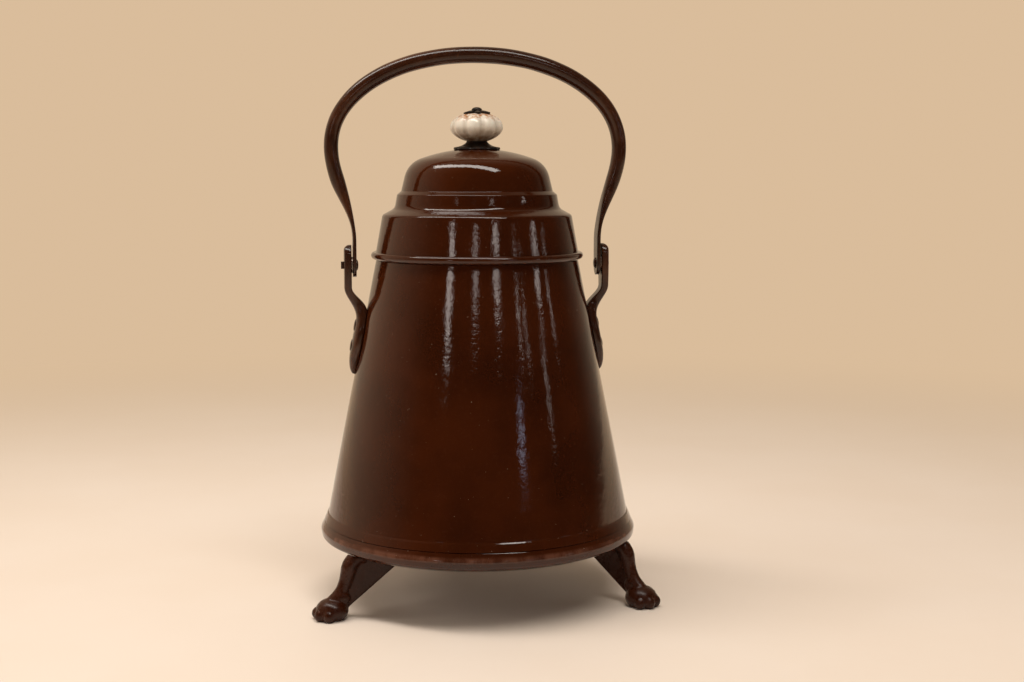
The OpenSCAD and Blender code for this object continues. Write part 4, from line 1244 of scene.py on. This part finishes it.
class KETTLE_OT_stage(bpy.types.Operator):
    """Set the floor, the soft studio light and the camera."""

    bl_idname = "kettle.stage"
    bl_label = "Stage"
    window_distance = 2.1
    lamp_colour = (1.0, 0.95, 0.88)
    window_colour = (1.0, 0.90, 0.84)
    sky_colour = (0.66, 0.76, 1.0)
    room_colour = (1.0, 0.76, 0.52)
    bright_side = (-0.35, 0.9, 0)

    def execute(self, context):
        self.floor(context)
        self.world(context)
        self.lamp("skylight", (-0.27, -0.35, 2.0), 2.9, 0.40, 35)
        self.lamp("ceiling", (-0.05, 0.0, 2.1), 2.2, 1.8, 10.0, mirrored=False)
        self.lamp("left_panel", (-1.9, -0.35, 0.75), 1.3, 1.3, 13.0, mirrored=False)
        self.lamp("right_panel", (2.1, -0.1, 0.8), 0.9, 1.3, 3.8, mirrored=False)
        self.camera(context)
        # Degrees from the front, width, lower and upper height of the reflection, watts
        for degrees, width, low, high, watts in (
            (-13.9, 0.16, 0.205, 0.290, 0.84),
            (-1.2, 0.18, 0.240, 0.272, 0.26),
            (10.0, 0.18, 0.238, 0.290, 0.52),
            (20.6, 0.05, 0.215, 0.252, 0.12),
            (23.6, 0.04, 0.205, 0.240, 0.07),
            (33.0, 0.16, 0.243, 0.290, 0.38),
            (32.0, 0.05, 0.150, 0.215, 0.12),
            (39.6, 0.05, 0.215, 0.272, 0.10),
        ):
            self.streak(context, degrees, width, low, high, watts, self.window_colour)
        self.streak(context, 18.0, 0.16, 0.125, 0.160, 0.20, self.sky_colour)
        context.scene.view_settings.view_transform = "Standard"
        return {"FINISHED"}

    def floor(self, context):
        """Pale table that fades into the background colour."""
        look = context.scene.kettle_finish
        rings = [ring_of(r, z, 96) for r, z in ((4.0, -20 * MM), (4.0, -10 * MM), (3.98, 0.0))]
        table = skin("table", rings)
        finish = Finish("table")
        clouds = finish.band(finish.noise(5, 4), 0.3, 0.7, 0.0, 0.10)
        finish.link(finish.blend(clouds, look.table, look.wall), "Base Color")
        finish.shader.inputs["Roughness"].default_value = 0.55
        glow = finish.add("ShaderNodeEmission", {"Color": (*look.wall, 1), "Strength": 1.0})
        mixer = finish.add("ShaderNodeMixShader", {0: finish.band(finish.radius(), 0.35, 1.6)})
        finish.tree.links.new(finish.shader.outputs[0], mixer.inputs[1])
        finish.tree.links.new(glow.outputs[0], mixer.inputs[2])
        finish.tree.links.new(mixer.outputs[0], finish.tree.nodes["Material Output"].inputs[0])
        table.data.materials.append(finish.material)

    def world(self, context):
        """Plain background to the camera; pale walls around and a dark front to everything else."""
        look = context.scene.kettle_finish
        world = bpy.data.worlds.new("studio")
        context.scene.world = world
        world.use_nodes = True
        nodes, links = world.node_tree.nodes, world.node_tree.links
        place = nodes.new("ShaderNodeTexCoord")
        facing = nodes.new("ShaderNodeVectorMath")
        facing.operation = "DOT_PRODUCT"
        facing.inputs[1].default_value = self.bright_side
        links.new(place.outputs["Generated"], facing.inputs[0])
        depth = nodes.new("ShaderNodeMapRange")
        depth.interpolation_type = "SMOOTHSTEP"
        for key, value in (("From Min", -0.35), ("From Max", 0.9), ("To Min", 0.03), ("To Max", 0.6)):
            depth.inputs[key].default_value = value
        links.new(facing.outputs["Value"], depth.inputs["Value"])
        room = nodes["Background"]
        room.inputs["Color"].default_value = (*self.room_colour, 1)
        links.new(depth.outputs[0], room.inputs["Strength"])
        seen = nodes.new("ShaderNodeBackground")
        seen.inputs["Color"].default_value = (*look.wall, 1)
        rays = nodes.new("ShaderNodeLightPath")
        chooser = nodes.new("ShaderNodeMixShader")
        links.new(rays.outputs["Is Camera Ray"], chooser.inputs[0])
        links.new(room.outputs[0], chooser.inputs[1])
        links.new(seen.outputs[0], chooser.inputs[2])
        links.new(chooser.outputs[0], nodes["World Output"].inputs[0])

    def lamp(self, name, place, width, height, watts, colour=lamp_colour, aim=(0, 0, 0.22), mirrored=True):
        """Soft panel that faces a point; one that isn't mirrored lights the part without a reflection."""
        data = bpy.data.lights.new(name, "AREA")
        data.shape = "RECTANGLE"
        data.size, data.size_y = width, height
        data.energy = watts
        data.color = colour
        lamp = bpy.data.objects.new(name, data)
        lamp.location = place
        lamp.visible_glossy = mirrored
        lamp.rotation_euler = (Vector(aim) - Vector(place)).to_track_quat("-Z", "Y").to_euler()
        bpy.context.scene.collection.objects.link(lamp)

    def streak(self, context, degrees, width, low, high, watts, colour):
        """Upright window whose reflection runs down the wall between two heights."""
        wall = context.scene.kettle_wall
        eye = context.scene.camera.location
        lean = math.atan(wall_taper(wall))
        facing = math.atan2(eye.y, eye.x) + math.radians(degrees)
        level = Vector((math.cos(facing), math.sin(facing), 0))
        normal = level * math.cos(lean) + Vector((0, 0, math.sin(lean)))
        ends = []
        for z in (low, high):
            r = wall_radius(wall, z)
            spot = level * r + Vector((0, 0, z))
            view = (spot - eye).normalized()
            bounce = view - 2 * view.dot(normal) * normal
            ends.append(spot + bounce * self.window_distance)
        middle = (ends[0] + ends[1]) / 2
        tall = (ends[1] - ends[0]).length
        self.lamp(f"window_{degrees}", middle, width, tall, watts, colour, (0, 0, middle.z))

    def camera(self, context):
        tilt_down, turn_right = math.radians(6.61), math.radians(8.155)
        data = bpy.data.cameras.new("camera")
        data.sensor_width = 36
        data.lens = 51.0
        camera = bpy.data.objects.new("camera", data)
        camera.location = (-0.137, -1.152, 0.3373)
        camera.rotation_euler = (math.pi / 2 - tilt_down, 0, -turn_right)
        context.scene.collection.objects.link(camera)
        context.scene.camera = camera


# ---------------------------------------------------------------------------
# Panel and registration
# ---------------------------------------------------------------------------


OPERATORS = (
    KETTLE_OT_wall,
    KETTLE_OT_ring,
    KETTLE_OT_lid,
    KETTLE_OT_knob,
    KETTLE_OT_ears,
    KETTLE_OT_handle,
    KETTLE_OT_feet,
    KETTLE_OT_fittings,
    KETTLE_OT_stage,
)


class KETTLE_PT_dressing(bpy.types.Panel):
    """Lists the steps that dress the kettle."""

    bl_label = "Kettle"
    bl_idname = "KETTLE_PT_dressing"
    bl_space_type = "VIEW_3D"
    bl_region_type = "UI"
    bl_category = "Kettle"

    def draw(self, context):
        for operator in OPERATORS:
            self.layout.operator(operator.bl_idname)
        for name, group in GROUPS.items():
            box = self.layout.box()
            for field in group.__annotations__:
                box.prop(getattr(context.scene, name), field)


def register():
    for group in GROUPS.values():
        bpy.utils.register_class(group)
    for name, group in GROUPS.items():
        setattr(bpy.types.Scene, name, PointerProperty(type=group))
    for operator in OPERATORS:
        bpy.utils.register_class(operator)
    bpy.utils.register_class(KETTLE_PT_dressing)


def unregister():
    bpy.utils.unregister_class(KETTLE_PT_dressing)
    for operator in reversed(OPERATORS):
        bpy.utils.unregister_class(operator)
    for name, group in GROUPS.items():
        delattr(bpy.types.Scene, name)
        bpy.utils.unregister_class(group)


def main():
    register()
    bpy.ops.kettle.stage()
    bpy.ops.kettle.wall()
    bpy.ops.kettle.ring()
    bpy.ops.kettle.lid()
    bpy.ops.kettle.knob()
    bpy.ops.kettle.ears()
    bpy.ops.kettle.handle()
    bpy.ops.kettle.feet()
    bpy.ops.kettle.fittings()


if __name__ == "__main__":
    main()
